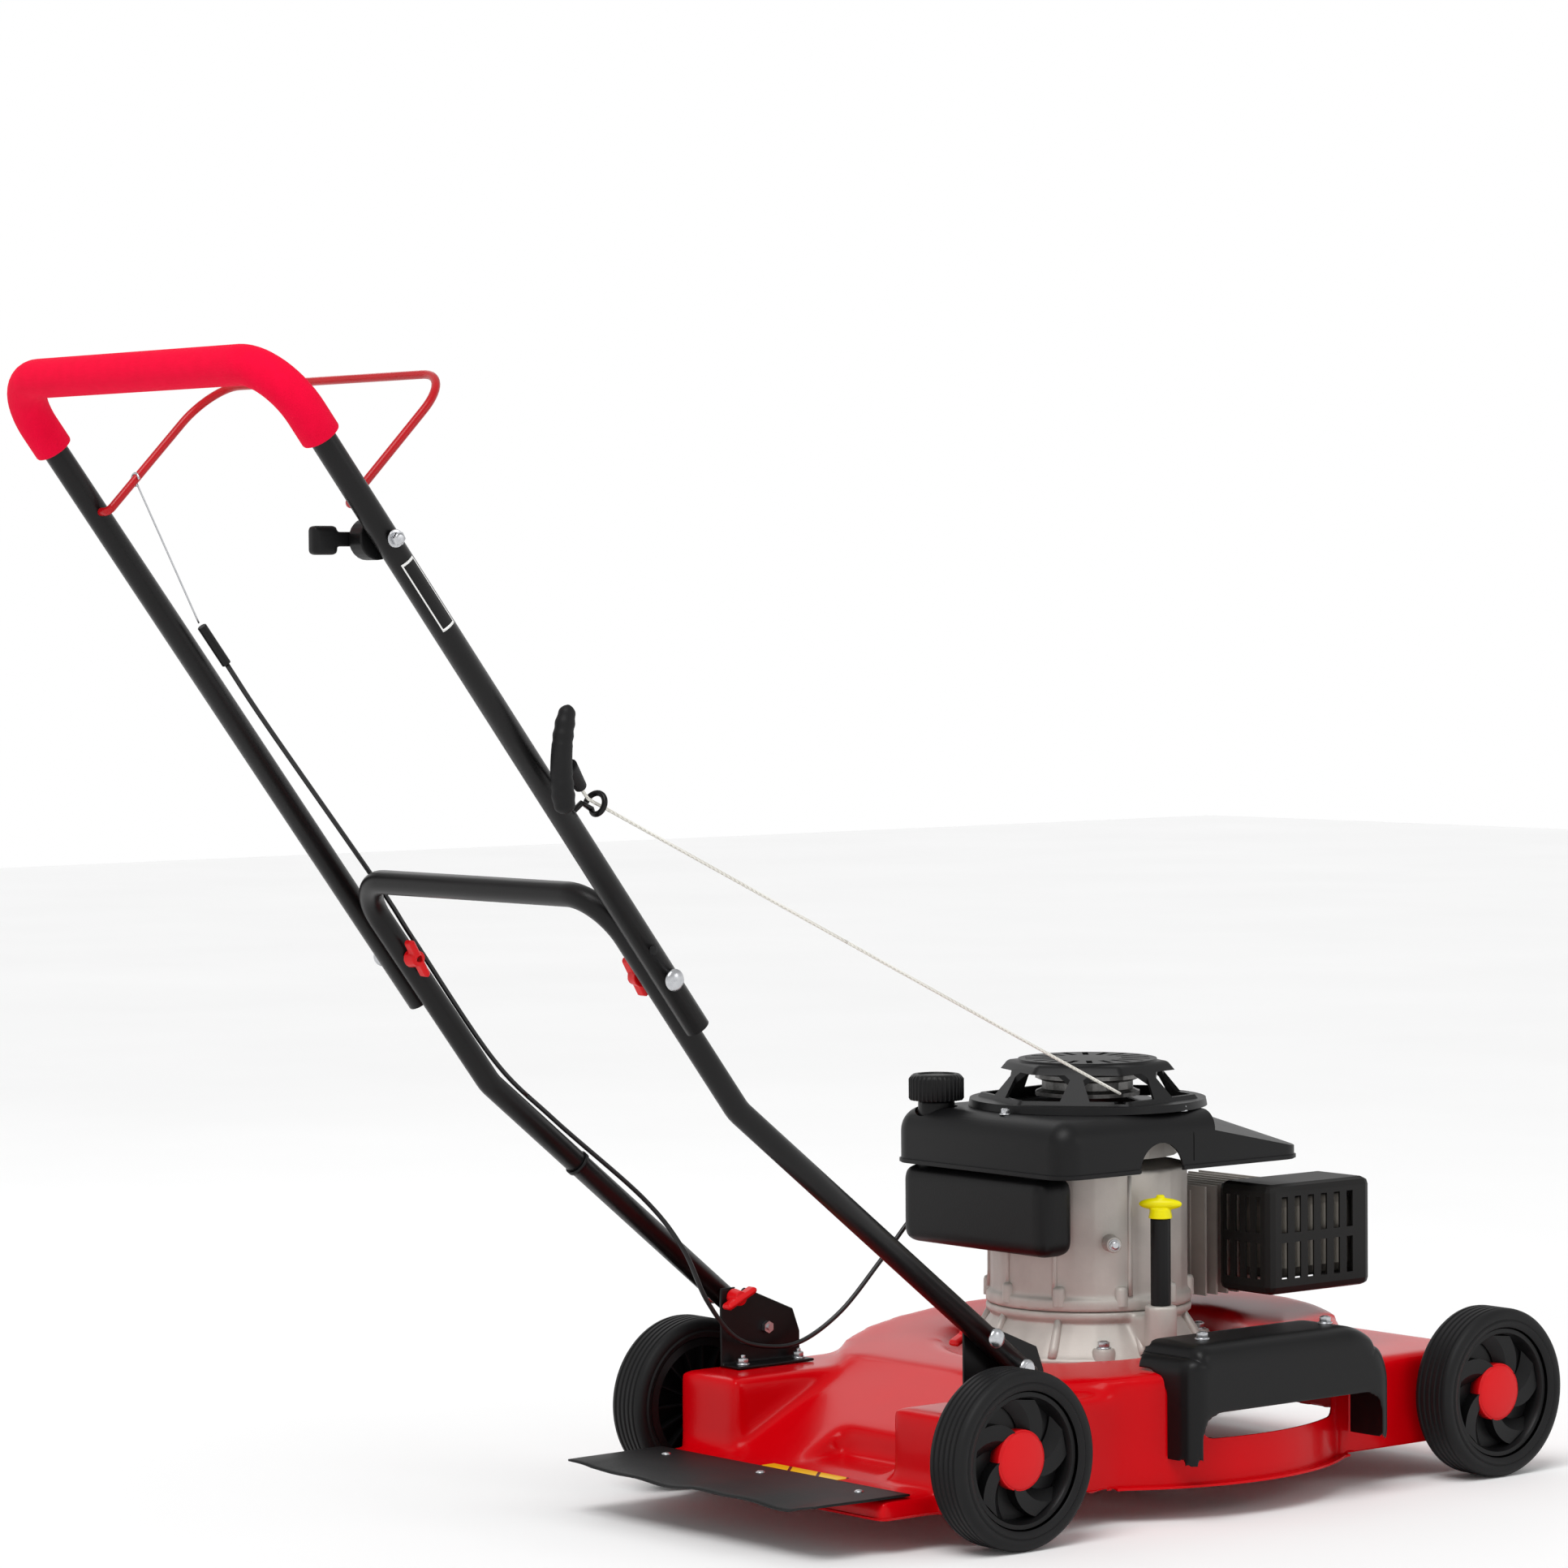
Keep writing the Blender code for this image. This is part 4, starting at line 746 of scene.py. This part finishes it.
# Bail: an 8 mm sprung steel rod across the grip, its ends turned out through holes in the tubes. The rod is
# powder coated red, glossier than the black coat and a little darker than the deck's enamel.
red_powder_coat, tree, shader, place = new_material("red_powder_coat")
grain = node(tree, "TexNoise", {"Vector": place, "Scale": 1 / POWDER_GRAIN, "Detail": 2.0})
drift = node(tree, "TexNoise", {"Vector": place, "Scale": 25.0, "Detail": 3.0})
tone = node(tree, "ValToRGB", {0: drift.outputs[0]}, ("#A80410", "#BC0614"))
bump = node(tree, "Bump", {"Height": grain.outputs[0], "Strength": 0.10, "Distance": 0.0002})
feed(shader, {"Base Color": tone.outputs[0], "Normal": bump.outputs[0], "Roughness": 0.30,
              "Specular IOR Level": 0.3})
ROD_R = 0.004
half_bail = [
    Vector((0.2300, -0.690, 1.014)), Vector((LOWER_X, -0.690, 1.014)), Vector((LOWER_X, -0.573, 1.133))
]
foot_bend = bent([half_bail[0], half_bail[1], half_bail[1].lerp(half_bail[2], 0.4)], 0.006, 8)
bar_bend = bent([foot_bend[-1], half_bail[2], Vector((0, *half_bail[2].yz))], 0.048, 14)
bail_half = [*foot_bend, *bar_bend[1:-1]]
bail_path = [*bail_half, *mirrored(bail_half)]
finished(sweep("bail_rod", bail_path, ROD_R, 20), red_powder_coat, "red_steel", "bail", "bail_lever")
# The brake cable's bare wire, from the adjuster to the hook on the bail's left arm.
zinc_wire_end, zinc_wire_start = Vector((-0.2000, -0.6600, 1.0445)), Vector((-0.2055, -0.5865, 0.9075))
wire_path = [zinc_wire_start.lerp(zinc_wire_end, i / 14) for i in range(15)]
wire = finished(sweep("brake_wire", wire_path, 0.0009, 8), zinc_plated, "bright_steel")
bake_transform(wire)
hook_centre = Vector((-0.1995, -0.6600, 1.0445))
HOOK_R, HOOK_STEPS = 0.006, 20
turns = [math.tau * i / HOOK_STEPS for i in range(HOOK_STEPS - 2)]
hook = [hook_centre + Vector((HOOK_R * math.cos(t), 0, HOOK_R * math.sin(t))) for t in turns]
finished(sweep("bail_hook", hook, 0.0012, 10), zinc_plated, "bright_steel", "bail")

# Cable adjuster: a barrel moulded in black polypropylene and clipped to the left leg, with a nut at its
# lower end that takes up the slack of the cable.
rounded_from("cable_adjuster", "adjuster_barrel", 0.0006, 3, black_polypropylene, "black_plastic",
             "upper_frame")

# Throttle: a round housing bolted to the right leg, and a flat paddle that turns on it. Both are nylon from
# a spark-eroded mould, which gives a fine even grain.
textured_nylon = moulded_plastic("spark_eroded_nylon", "#0A0A0B", "#121213", 0.42, 1.1, 0.22)
rounded_from("throttle_housing", "throttle_box", 0.0009, 4, textured_nylon, "black_plastic", "upper_frame")
rounded_from("throttle_lever", "throttle_paddle", 0.0009, 5, textured_nylon, "black_plastic", "throttle")
hex_bolt("throttle_bolt_head", (0.2385, -0.6659, 0.983), (1, 0, 0), 0.0110, "upper_frame", 1.3)

# Rope guide: a pigtail of 5.6 mm steel wire, coated black and screwed into the right leg. The starter rope
# runs through its turn.
guide_root = Vector((UPPER_X, -0.4707, 0.727))
coil_start = guide_root + leg_front * 0.024
first_way = (coil_start - guide) - rope_way * (coil_start - guide).dot(rope_way)
first_way.normalize()
second_way = rope_way.cross(first_way)
COIL_R, COIL_PITCH, COIL_STEPS = 0.0095, 0.0090, 48
turns = [math.tau * i / COIL_STEPS for i in range(COIL_STEPS - 2)]
coil = []
for t in turns:
    rise = rope_way * COIL_PITCH * (t / math.tau - 0.5)
    coil.append(guide + (first_way * math.cos(t) + second_way * math.sin(t)) * COIL_R + rise)
pigtail = sweep("pigtail", [guide_root - leg_front * 0.010, coil_start, *coil], 0.0028, 16)
finished(pigtail, powder_coat, "black_paint", "upper_frame", "rope_guide")

# Starter grip: a bowed T of hard black rubber, moulded round the rope's knot. It is ribbed for the fingers
# and thinner towards its top.
BAR_STEPS, BAR_HALF = 60, 0.0495
bar, bar_radii = [], []
for i in range(BAR_STEPS + 1):
    share = 2 * i / BAR_STEPS - 1
    bar.append(grip_centre + Vector((0, 0.0070 * share**2 - 0.0020 + 0.0020 * share, BAR_HALF * share)))
    swell = 0.0100 * math.sqrt(max(0.0, 1 - abs(share) ** 9)) * (1 - 0.12 * share)
    finger = 0.0004 * math.cos(share * math.pi * 9) if abs(share) > 0.25 else 0.0
    bar_radii.append(max(0.0012, swell + finger))
grip_bar = sweep("starter_bar", bar, bar_radii, 32)
stem = [knot + to_grip * (0.018 + 0.0040 * i) for i in range(9)]
stem_radii = [0.0060 + 0.0004 * i for i in range(9)]
combine(grip_bar, sweep("starter_stem", stem, stem_radii, 28), "UNION")
softened(grip_bar, 0.0008, 3)
finished(grip_bar, moulded_rubber, "black_plastic", "pull_grip", "starter_handle")

# Engine castings: sump and crankcase are die-cast aluminium, joined at a flange with ten bolt bosses. The
# skin is a pale, slightly mottled grey with the die's fine grain.
cast_aluminium, tree, shader, place = new_material("die_cast_aluminium")
DIE_GRAIN = 0.0015
grain = node(tree, "TexNoise", {"Vector": place, "Scale": 1 / DIE_GRAIN, "Detail": 4.0})
bloom = node(tree, "TexNoise", {"Vector": place, "Scale": 30.0, "Detail": 5.0})
tone = node(tree, "ValToRGB", {0: bloom.outputs[0]}, ("#A9A49E", "#D0CBC4"))
gloss = node(tree, "MapRange", {"Value": bloom.outputs[0], "To Min": 0.44, "To Max": 0.60})
bump = node(tree, "Bump", {"Height": grain.outputs[0], "Strength": 0.30, "Distance": 0.0004})
feed(shader, {"Base Color": tone.outputs[0], "Roughness": gloss.outputs[0], "Normal": bump.outputs[0],
              "Metallic": 0.35})
rounded_from("sump", "sump_casting", 0.0022, 4, cast_aluminium, "cast_aluminium", "chassis")
rounded_from("crankcase", "crankcase_casting", 0.0022, 4, cast_aluminium, "cast_aluminium", "chassis")
BOSSES, BOSS_RING, FOOT_RING = 10, 0.1030, 0.1190
for index in range(BOSSES):
    turn = math.tau * (index + 0.35) / BOSSES
    spot = Vector((BOSS_RING * math.cos(turn), ENGINE_Y + BOSS_RING * math.sin(turn), 0))
    profile = [(0, 0.1960), (0.0072, 0.1960), (0.0070, 0.2120), (0.0060, 0.2150), (0.0040, 0.2162),
               (0, 0.2165)]
    boss = turned(f"boss_{index}", profile, 24)
    boss.data.transform(Matrix.Translation(spot))
    finished(boss, cast_aluminium, "cast_aluminium", "chassis", sharp=50)
# Thin upright ribs run up the crankcase, and stout ones down the sump's flare to its feet.
for index, degrees in enumerate((-128, -96, -62, -18, 150, 185)):
    way = Vector((math.cos(math.radians(degrees)), math.sin(math.radians(degrees)), 0))
    spot = Vector((0, ENGINE_Y, 0)) + way * 0.1035
    rib = sweep(f"case_rib_{index}", [spot + Vector((0, 0, z)) for z in (0.206, 0.225, 0.26, 0.30, 0.330)],
                [0.0030, 0.0026, 0.0024, 0.0024, 0.0020], 14)
    finished(rib, cast_aluminium, "cast_aluminium", "chassis")
for index, degrees in enumerate((-140, -100, -60, -15, 30, 100, 150, 190)):
    way = Vector((math.cos(math.radians(degrees)), math.sin(math.radians(degrees)), 0))
    flare = ((0.1035, 0.182), (0.110, 0.168), (0.118, 0.154), (0.124, 0.144))
    down = [Vector((0, ENGINE_Y, z)) + way * r for r, z in flare]
    rib = sweep(f"sump_rib_{index}", down, [0.0035, 0.0045, 0.0050, 0.0050], 16)
    finished(rib, cast_aluminium, "cast_aluminium", "chassis")
for index, degrees in enumerate((-118, -35, 62, 128)):
    turn = math.radians(degrees)
    spot = Vector((FOOT_RING * math.cos(turn), ENGINE_Y + FOOT_RING * math.sin(turn), 0.1400))
    profile = [(0, 0), (0.0125, 0), (0.0120, 0.0120), (0.0105, 0.0150), (0, 0.0150)]
    foot_pad = turned(f"sump_foot_{index}", profile, 32)
    foot_pad.data.transform(Matrix.Translation(spot))
    finished(foot_pad, cast_aluminium, "cast_aluminium", "chassis", sharp=50)
    hex_bolt(f"sump_bolt_{index}", spot + Vector((0, 0, 0.0150)), (0, 0, 1), 0.0110, "chassis", 1.2)
# A horizontal boss beside the filler, drilled and bolted.
boss_root, boss_way = Vector((0.092, 0.322, 0.262)), Vector((0.86, -0.5, 0))
profile = [(0, -0.02), (0.0092, -0.02), (0.0085, 0.0160), (0.0075, 0.0180), (0, 0.0180)]
side_boss = turned("side_boss", profile, 28)
side_boss.data.transform(facing(boss_root, boss_way))
finished(side_boss, cast_aluminium, "cast_aluminium", "chassis", sharp=40)
boss_face = boss_root + boss_way.normalized() * 0.018
hex_bolt("side_boss_bolt", boss_face, boss_way, 0.0095, "chassis", 1.1)

# Cylinder: die-cast aluminium in one with its head, with eight thin cooling fins that stand out to the front
# and keep the casting's pale grain.
edged("cylinder", cast_aluminium, 0.0005)

# Spark plug: screwed into the cylinder head, under a boot of moulded black rubber that is pushed over its
# tip.
rounded_from("spark_plug", "plug_boot", 0.0009, 4, moulded_rubber, "black_rubber", "chassis")

# Engine brake lever and the turning parts under the covers: a pressed and plated lever, forged steel ground
# to size, which is darker than plating and marked by the wheel, and a cast flywheel.
edged("engine_brake_lever", zinc_plated, 0.0003)
forged_steel, tree, shader, place = new_material("ground_steel")
marks = node(tree, "TexNoise", {"Vector": place, "Scale": 1 / 0.003, "Detail": 6.0})
tone = node(tree, "ValToRGB", {0: marks.outputs[0]}, ("#5C5B5A", "#8E8D8B"))
bump = node(tree, "Bump", {"Height": marks.outputs[0], "Strength": 0.15, "Distance": 0.0003})
feed(shader, {"Base Color": tone.outputs[0], "Normal": bump.outputs[0], "Metallic": 1.0,
              "Roughness": 0.38})
for name in ("crankshaft", "blade_bolt", "starter_pulley"):
    edged(name, forged_steel)
edged("flywheel", cast_aluminium)
for wheel in ("rear_left", "rear_right", "front_left", "front_right"):
    edged(f"wheel_bolt_{wheel}", zinc_plated)

# Blade: a bar rolled from spring steel and coated black. One bolt holds it under the crankshaft's adapter.
edged("blade", powder_coat, 0.0004)

# Muffler: two halves of pressed steel, browned by heat, bolted to the exhaust port. Round it stands a slotted
# guard with black stove enamel, which is nearly matt.
heated_steel, tree, shader, place = new_material("heat_tinted_steel")
tint = node(tree, "TexNoise", {"Vector": place, "Scale": 35.0, "Detail": 5.0})
tone = node(tree, "ValToRGB", {0: tint.outputs[0]}, ("#6A655F", "#9B958C"))
feed(shader, {"Base Color": tone.outputs[0], "Metallic": 0.9, "Roughness": 0.45})
edged("muffler", heated_steel, 0.001)
stove_paint = moulded_plastic("stove_enamelled_steel", "#0C0B0B", "#171615", 0.46, 1.4, 0.25)
edged("muffler_guard", stove_paint, 0.0006)

# Carburettor and air filter, on the left of the cylinder: a small aluminium casting, and a nylon box that
# clips over it.
rounded_from("carburettor", "carburettor_body", 0.0012, 4, cast_aluminium, "cast_aluminium", "chassis")
rounded_from("air_filter", "filter_box", 0.0020, 5, textured_nylon, "black_plastic", "chassis")

# Oil filler: a nylon tube from the sump with a dipstick pushed into it. The dipstick's handle is an oval T
# of yellow polypropylene, plain and fairly glossy.
rounded_from("oil_filler_tube", "filler_pipe", 0.0008, 3, textured_nylon, "black_plastic", "chassis")
yellow_polypropylene = moulded_plastic("yellow_polypropylene", "#DCD000", "#ECE400", 0.34, 1.8, 0.08)
filler = Vector((0.1320, 0.3550, 0))
shape = bmesh.new()
oval = Matrix.Translation((0, 0, 0.3030)) @ Matrix.Rotation(math.radians(40), 4, "Z")
oval = oval @ Matrix.Diagonal((0.0225, 0.0075, 0.0065, 1))
bmesh.ops.create_uvsphere(shape, u_segments=40, v_segments=20, radius=1, matrix=oval)
dip = mesh_piece("dipstick_handle", shape)
combine(dip, disc_piece("dip_cap", (0, 0), 0.2883, 0.2985, 0.0125, 0.0105, 40), "UNION")
combine(dip, disc_piece("dip_stem", (0, 0), 0.2150, 0.2900, 0.0030, sides=20), "UNION")
combine(dip, disc_piece("dip_nub", (0, 0), 0.3000, 0.3125, 0.0052, 0.0042, 24), "UNION")
softened(dip, 0.0008, 4)
dip.data.transform(Matrix.Translation(filler))
finished(dip, yellow_polypropylene, "yellow_plastic", "dip", "dipstick")

# Discharge guard: a polypropylene hood over the deck's side opening, its mouth arched between two legs, held
# by two flanged bolts.
guard_hood = rounded_from("discharge_guard", "guard_hood", 0.0026, 12, black_polypropylene, "black_plastic",
                          "chassis")
# Its shoulders are swept round, wide at the front and tighter at the back.
GUARD_TOP = 0.178
for edge_y, way, swept in ((0.548, 1, 0.062), (0.262, -1, 0.030)):
    for vertex in guard_hood.data.vertices:
        along = way * (vertex.co.y - edge_y) + swept
        up = vertex.co.z - (GUARD_TOP - swept)
        if along > 0 and up > 0:
            drawn = max(along, up) / math.hypot(along, up)
            vertex.co.y = edge_y + way * (along * drawn - swept)
            vertex.co.z = GUARD_TOP - swept + up * drawn
for index, y in enumerate((0.318, 0.492)):
    hex_bolt(f"guard_bolt_{index}", (0.232, y, 0.1778), (0, 0, 1), 0.0105, "chassis")

# Fuel tank: blow-moulded polyethylene, slung from the engine's back left corner, with a neck under the cap.
# The cap is nylon with moulded ribs for the hand.
blown_polyethylene = moulded_plastic("blow_moulded_polyethylene", "#070708", "#0E0E0F", 0.40, 2.2, 0.28)
rounded_from("fuel_tank", "tank_shell", 0.0018, 9, blown_polyethylene, "black_plastic", "chassis")
CAP_RIBS, CAP_STEPS = 36, 288
cap_low, cap_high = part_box("fuel_cap")
cap_middle = (cap_low + cap_high) / 2
depth = cap_high.z - cap_low.z
shape = bmesh.new()
profile = [(0, 0.0), (0.0265, 0.0), (0.0278, 0.0020), (0.0278, depth - 0.0050), (0.0262, depth - 0.0015),
           (0.0240, depth), (0.0200, depth), (0.0190, depth - 0.0014), (0, depth - 0.0014)]
columns = []
for i in range(CAP_STEPS):
    turn = math.tau * i / CAP_STEPS
    rib = 0.0012 * max(0.0, math.cos(CAP_RIBS * turn)) ** 0.5
    column = []
    for k, (r, z) in enumerate(profile):
        grown = r + rib if 1 <= k <= 3 else r
        column.append(shape.verts.new((grown * math.cos(turn), grown * math.sin(turn), z)))
    columns.append(column)
for i in range(CAP_STEPS):
    here, there = columns[i], columns[(i + 1) % CAP_STEPS]
    for a, b, c, d in zip(here, there, there[1:], here[1:]):
        shape.faces.new((a, b, c, d))
bmesh.ops.remove_doubles(shape, verts=shape.verts, dist=1e-6)
tank_cap = mesh_piece("ribbed_cap", shape)
tank_cap.data.transform(Matrix.Translation((cap_middle.x, cap_middle.y, cap_low.z)))
finished(tank_cap, textured_nylon, "black_plastic", "cap", "fuel_cap", sharp=42)

# Blower housing: a glass-filled nylon shroud over the flywheel and tank, with a lip round its skirt and an
# arched notch over the dipstick.
HOUSING_TOP = 0.3950


def rounded_block(name, low, high, radius, segments=8):
    shape = bmesh.new()
    box_shape(shape, low, high)
    bmesh.ops.bevel(shape, geom=[*shape.verts, *shape.edges], offset=radius, segments=segments,
                    affect="EDGES", profile=0.5)
    return mesh_piece(name, shape)


shroud = rounded_block("shroud", (-0.1350, 0.2190, 0.2), (0.1350, 0.5590, HOUSING_TOP), 0.026, 10)
lip_ring = rounded_block("shroud_lip", (-0.1366, 0.2174, 0.2), (0.1366, 0.5606, 0.46), 0.0270, 10)
combine(lip_ring, box_piece("lip_band", (-0.2, 0.1, 0.3370), (0.2, 0.7, 0.3405)), "INTERSECT")
combine(shroud, lip_ring, "UNION")


def wedge(name, drop):
    """The block that slopes the shroud's front end down, lowest on the right."""
    turn = Matrix.Translation((0.0, 0.435, HOUSING_TOP - drop)) @ Matrix.Rotation(math.radians(-12), 4, "X")
    turn = turn @ Matrix.Rotation(math.radians(9), 4, "Y")
    return box_piece(name, (-0.20, 0.0, 0.0), (0.25, 0.3, 0.2), turn)


combine(shroud, wedge("shroud_slope", 0.0), "DIFFERENCE")
hollow = rounded_block("shroud_inside", (-0.1325, 0.2215, 0.1), (0.1325, 0.5565, 0.3925), 0.024, 10)
combine(hollow, wedge("hollow_slope", 0.0025), "DIFFERENCE")
combine(shroud, hollow, "DIFFERENCE")
combine(shroud, box_piece("shroud_below", (-0.2, 0.1, 0.0), (0.2, 0.7, 0.3360)), "DIFFERENCE")
combine(shroud, disc_piece("fan_inlet", (0, ENGINE_Y), 0.38, 0.41, 0.0880), "DIFFERENCE")
combine(shroud, disc_piece("neck_hole", (-0.0950, 0.2480), 0.38, 0.41, 0.0225, sides=48), "DIFFERENCE")
notch = turned("notch", [(0, 0.0), (0.0300, 0.0), (0.0300, 0.06), (0, 0.06)], 64)
notch.data.transform(facing(Vector((0.108, 0.355, 0.336)), (1, 0, 0)))
combine(shroud, notch, "DIFFERENCE")
combine(shroud, box_piece("seam", (-0.2, 0.2992, 0.3445), (-0.1340, 0.3004, 0.40)), "DIFFERENCE")
combine(shroud, box_piece("seam_right", (0.1342, 0.3992, 0.3445), (0.2, 0.4004, 0.40)), "DIFFERENCE")
finished(shroud, textured_nylon, "black_plastic", "chassis", "blower_housing", sharp=32)
for index, (x, y) in enumerate(((-0.117, 0.40), (0.117, 0.40), (0.02, 0.242))):
    hex_bolt(f"shroud_bolt_{index}", (x, y, 0.3948), (0, 0, 1), 0.0085, "chassis", 1.2)

# Recoil starter cover: a six-sided dome with a window in each face, a round base and a vented disc on top,
# moulded in one from nylon and fixed over the shroud's inlet.
DOME_TURN = 10


def six_sided(name, low, high, radius, top_radius, rounding):
    """A hexagonal frustum over the engine, turned by DOME_TURN degrees, with its edges rounded."""
    shape = bmesh.new()
    disc_shape(shape, (0, 0), low, high, radius, top_radius, 6)
    bmesh.ops.bevel(shape, geom=shape.edges[:], offset=rounding, segments=4, affect="EDGES", profile=0.5)
    piece = mesh_piece(name, shape)
    turn = Matrix.Rotation(math.radians(DOME_TURN), 4, "Z")
    piece.data.transform(Matrix.Translation((0, ENGINE_Y, 0)) @ turn)
    return piece


cover = six_sided("recoil_dome", 0.3985, 0.4420, 0.1210, 0.0850, 0.004)
combine(cover, disc_piece("cover_base", (0, ENGINE_Y), 0.3953, 0.4030, 0.1250, 0.1235), "UNION")
combine(cover, disc_piece("cover_top", (0, ENGINE_Y), 0.4380, 0.4440, 0.0745, 0.0725), "UNION")
combine(cover, six_sided("dome_inside", 0.3900, 0.4390, 0.1230, 0.0810, 0.003), "DIFFERENCE")
for index in range(6):
    turn = Matrix.Rotation(math.radians(DOME_TURN + 30 + 60 * index), 4, "Z")
    turn = Matrix.Translation((0, ENGINE_Y, 0)) @ turn
    combine(cover, box_piece("window", (0.076, -0.036, 0.4070), (0.140, 0.036, 0.4325), turn), "DIFFERENCE")
for index in range(18):
    turn = Matrix.Translation((0, ENGINE_Y, 0)) @ Matrix.Rotation(math.tau * index / 18, 4, "Z")
    combine(cover, box_piece("vent", (0.036, -0.0032, 0.43), (0.066, 0.0032, 0.46), turn), "DIFFERENCE")
combine(cover, disc_piece("rope_eye", (0.100, 0.329), 0.405, 0.43, 0.006, sides=24), "DIFFERENCE")
finished(cover, textured_nylon, "black_plastic", "chassis", "recoil_cover", sharp=30)

# A plain white outline on the outside of the right leg below the throttle, cut from vinyl film and stuck
# round the tube. The film is white, flat and a little glossy.
white_film, tree, shader, place = new_material("white_vinyl_film")
print_grain = node(tree, "TexNoise", {"Vector": place, "Scale": 400.0, "Detail": 2.0})
tone = node(tree, "ValToRGB", {0: print_grain.outputs[0]}, ("#E4E4E2", "#F4F4F2"))
feed(shader, {"Base Color": tone.outputs[0], "Roughness": 0.35})
FILM_LENGTH, FILM_HALF_TURN, FILM_ROWS, FILM_COLUMNS = 0.075, math.radians(38), 30, 12
FILM_STEP, FILM_THICKNESS = 0.0002, 0.00015
film_end = Vector((UPPER_X, -0.6510, 0.9636))
shape = bmesh.new()
grid = []
for i in range(FILM_ROWS + 1):
    centre = film_end - leg_way * FILM_LENGTH * i / FILM_ROWS
    row = []
    for j in range(FILM_COLUMNS + 1):
        turn = FILM_HALF_TURN * (2 * j / FILM_COLUMNS - 1)
        out = Vector((1, 0, 0)) * math.cos(turn) + leg_front * math.sin(turn)
        row.append(shape.verts.new(centre + out * (TUBE_R + FILM_STEP)))
    grid.append(row)
for i in range(FILM_ROWS):
    for j in range(FILM_COLUMNS):
        if i in (0, FILM_ROWS - 1) or j in (0, FILM_COLUMNS - 1):
            shape.faces.new((grid[i][j], grid[i + 1][j], grid[i + 1][j + 1], grid[i][j + 1]))
bmesh.ops.delete(shape, geom=[v for v in shape.verts if not v.link_faces], context="VERTS")
film = mesh_piece("leg_outline_film", shape)
skin = film.modifiers.new("film", "SOLIDIFY")
skin.thickness = FILM_THICKNESS
skin.offset = 1
finished(apply_modifiers(film), white_film, "rope", "upper_frame")

# Small fittings: a polypropylene tie that holds the brake cable to the left leg, and a yellow safety label,
# printed on vinyl film with thin dark bands, on the step in front of the flap.
TIE_HALF, TIE_IN, TIE_OUT = 0.0022, 0.0123, 0.0136
band = [(TIE_IN, -TIE_HALF), (TIE_OUT, -TIE_HALF), (TIE_OUT, TIE_HALF), (TIE_IN, TIE_HALF),
        (TIE_IN, -TIE_HALF)]
tie = turned("cable_tie", band, 36)
tie.data.transform(facing(Vector((-0.2022, -0.141, 0.355)), (0.024, 0.781, -0.625)))
finished(tie, black_polypropylene, "black_plastic", "lower_frame")
printed_film, tree, shader, place = new_material("printed_vinyl_film")
wave = node(tree, "TexWave", {"Vector": place, "Scale": 14.0, "Distortion": 0.0}, wave_type="BANDS",
            bands_direction="DIAGONAL")
tone = node(tree, "ValToRGB", {0: wave.outputs[0]}, ("#F2C400", "#1A1A1A"))
tone.color_ramp.interpolation = "CONSTANT"
tone.color_ramp.elements[1].position = 0.97
feed(shader, {"Base Color": tone.outputs[0], "Roughness": 0.3})
label = rounded_block("safety_label", (-0.045, -0.0385, 0.0534), (0.075, -0.0140, 0.0541), 0.0002, 2)
finished(label, printed_film, "yellow_plastic", "chassis")
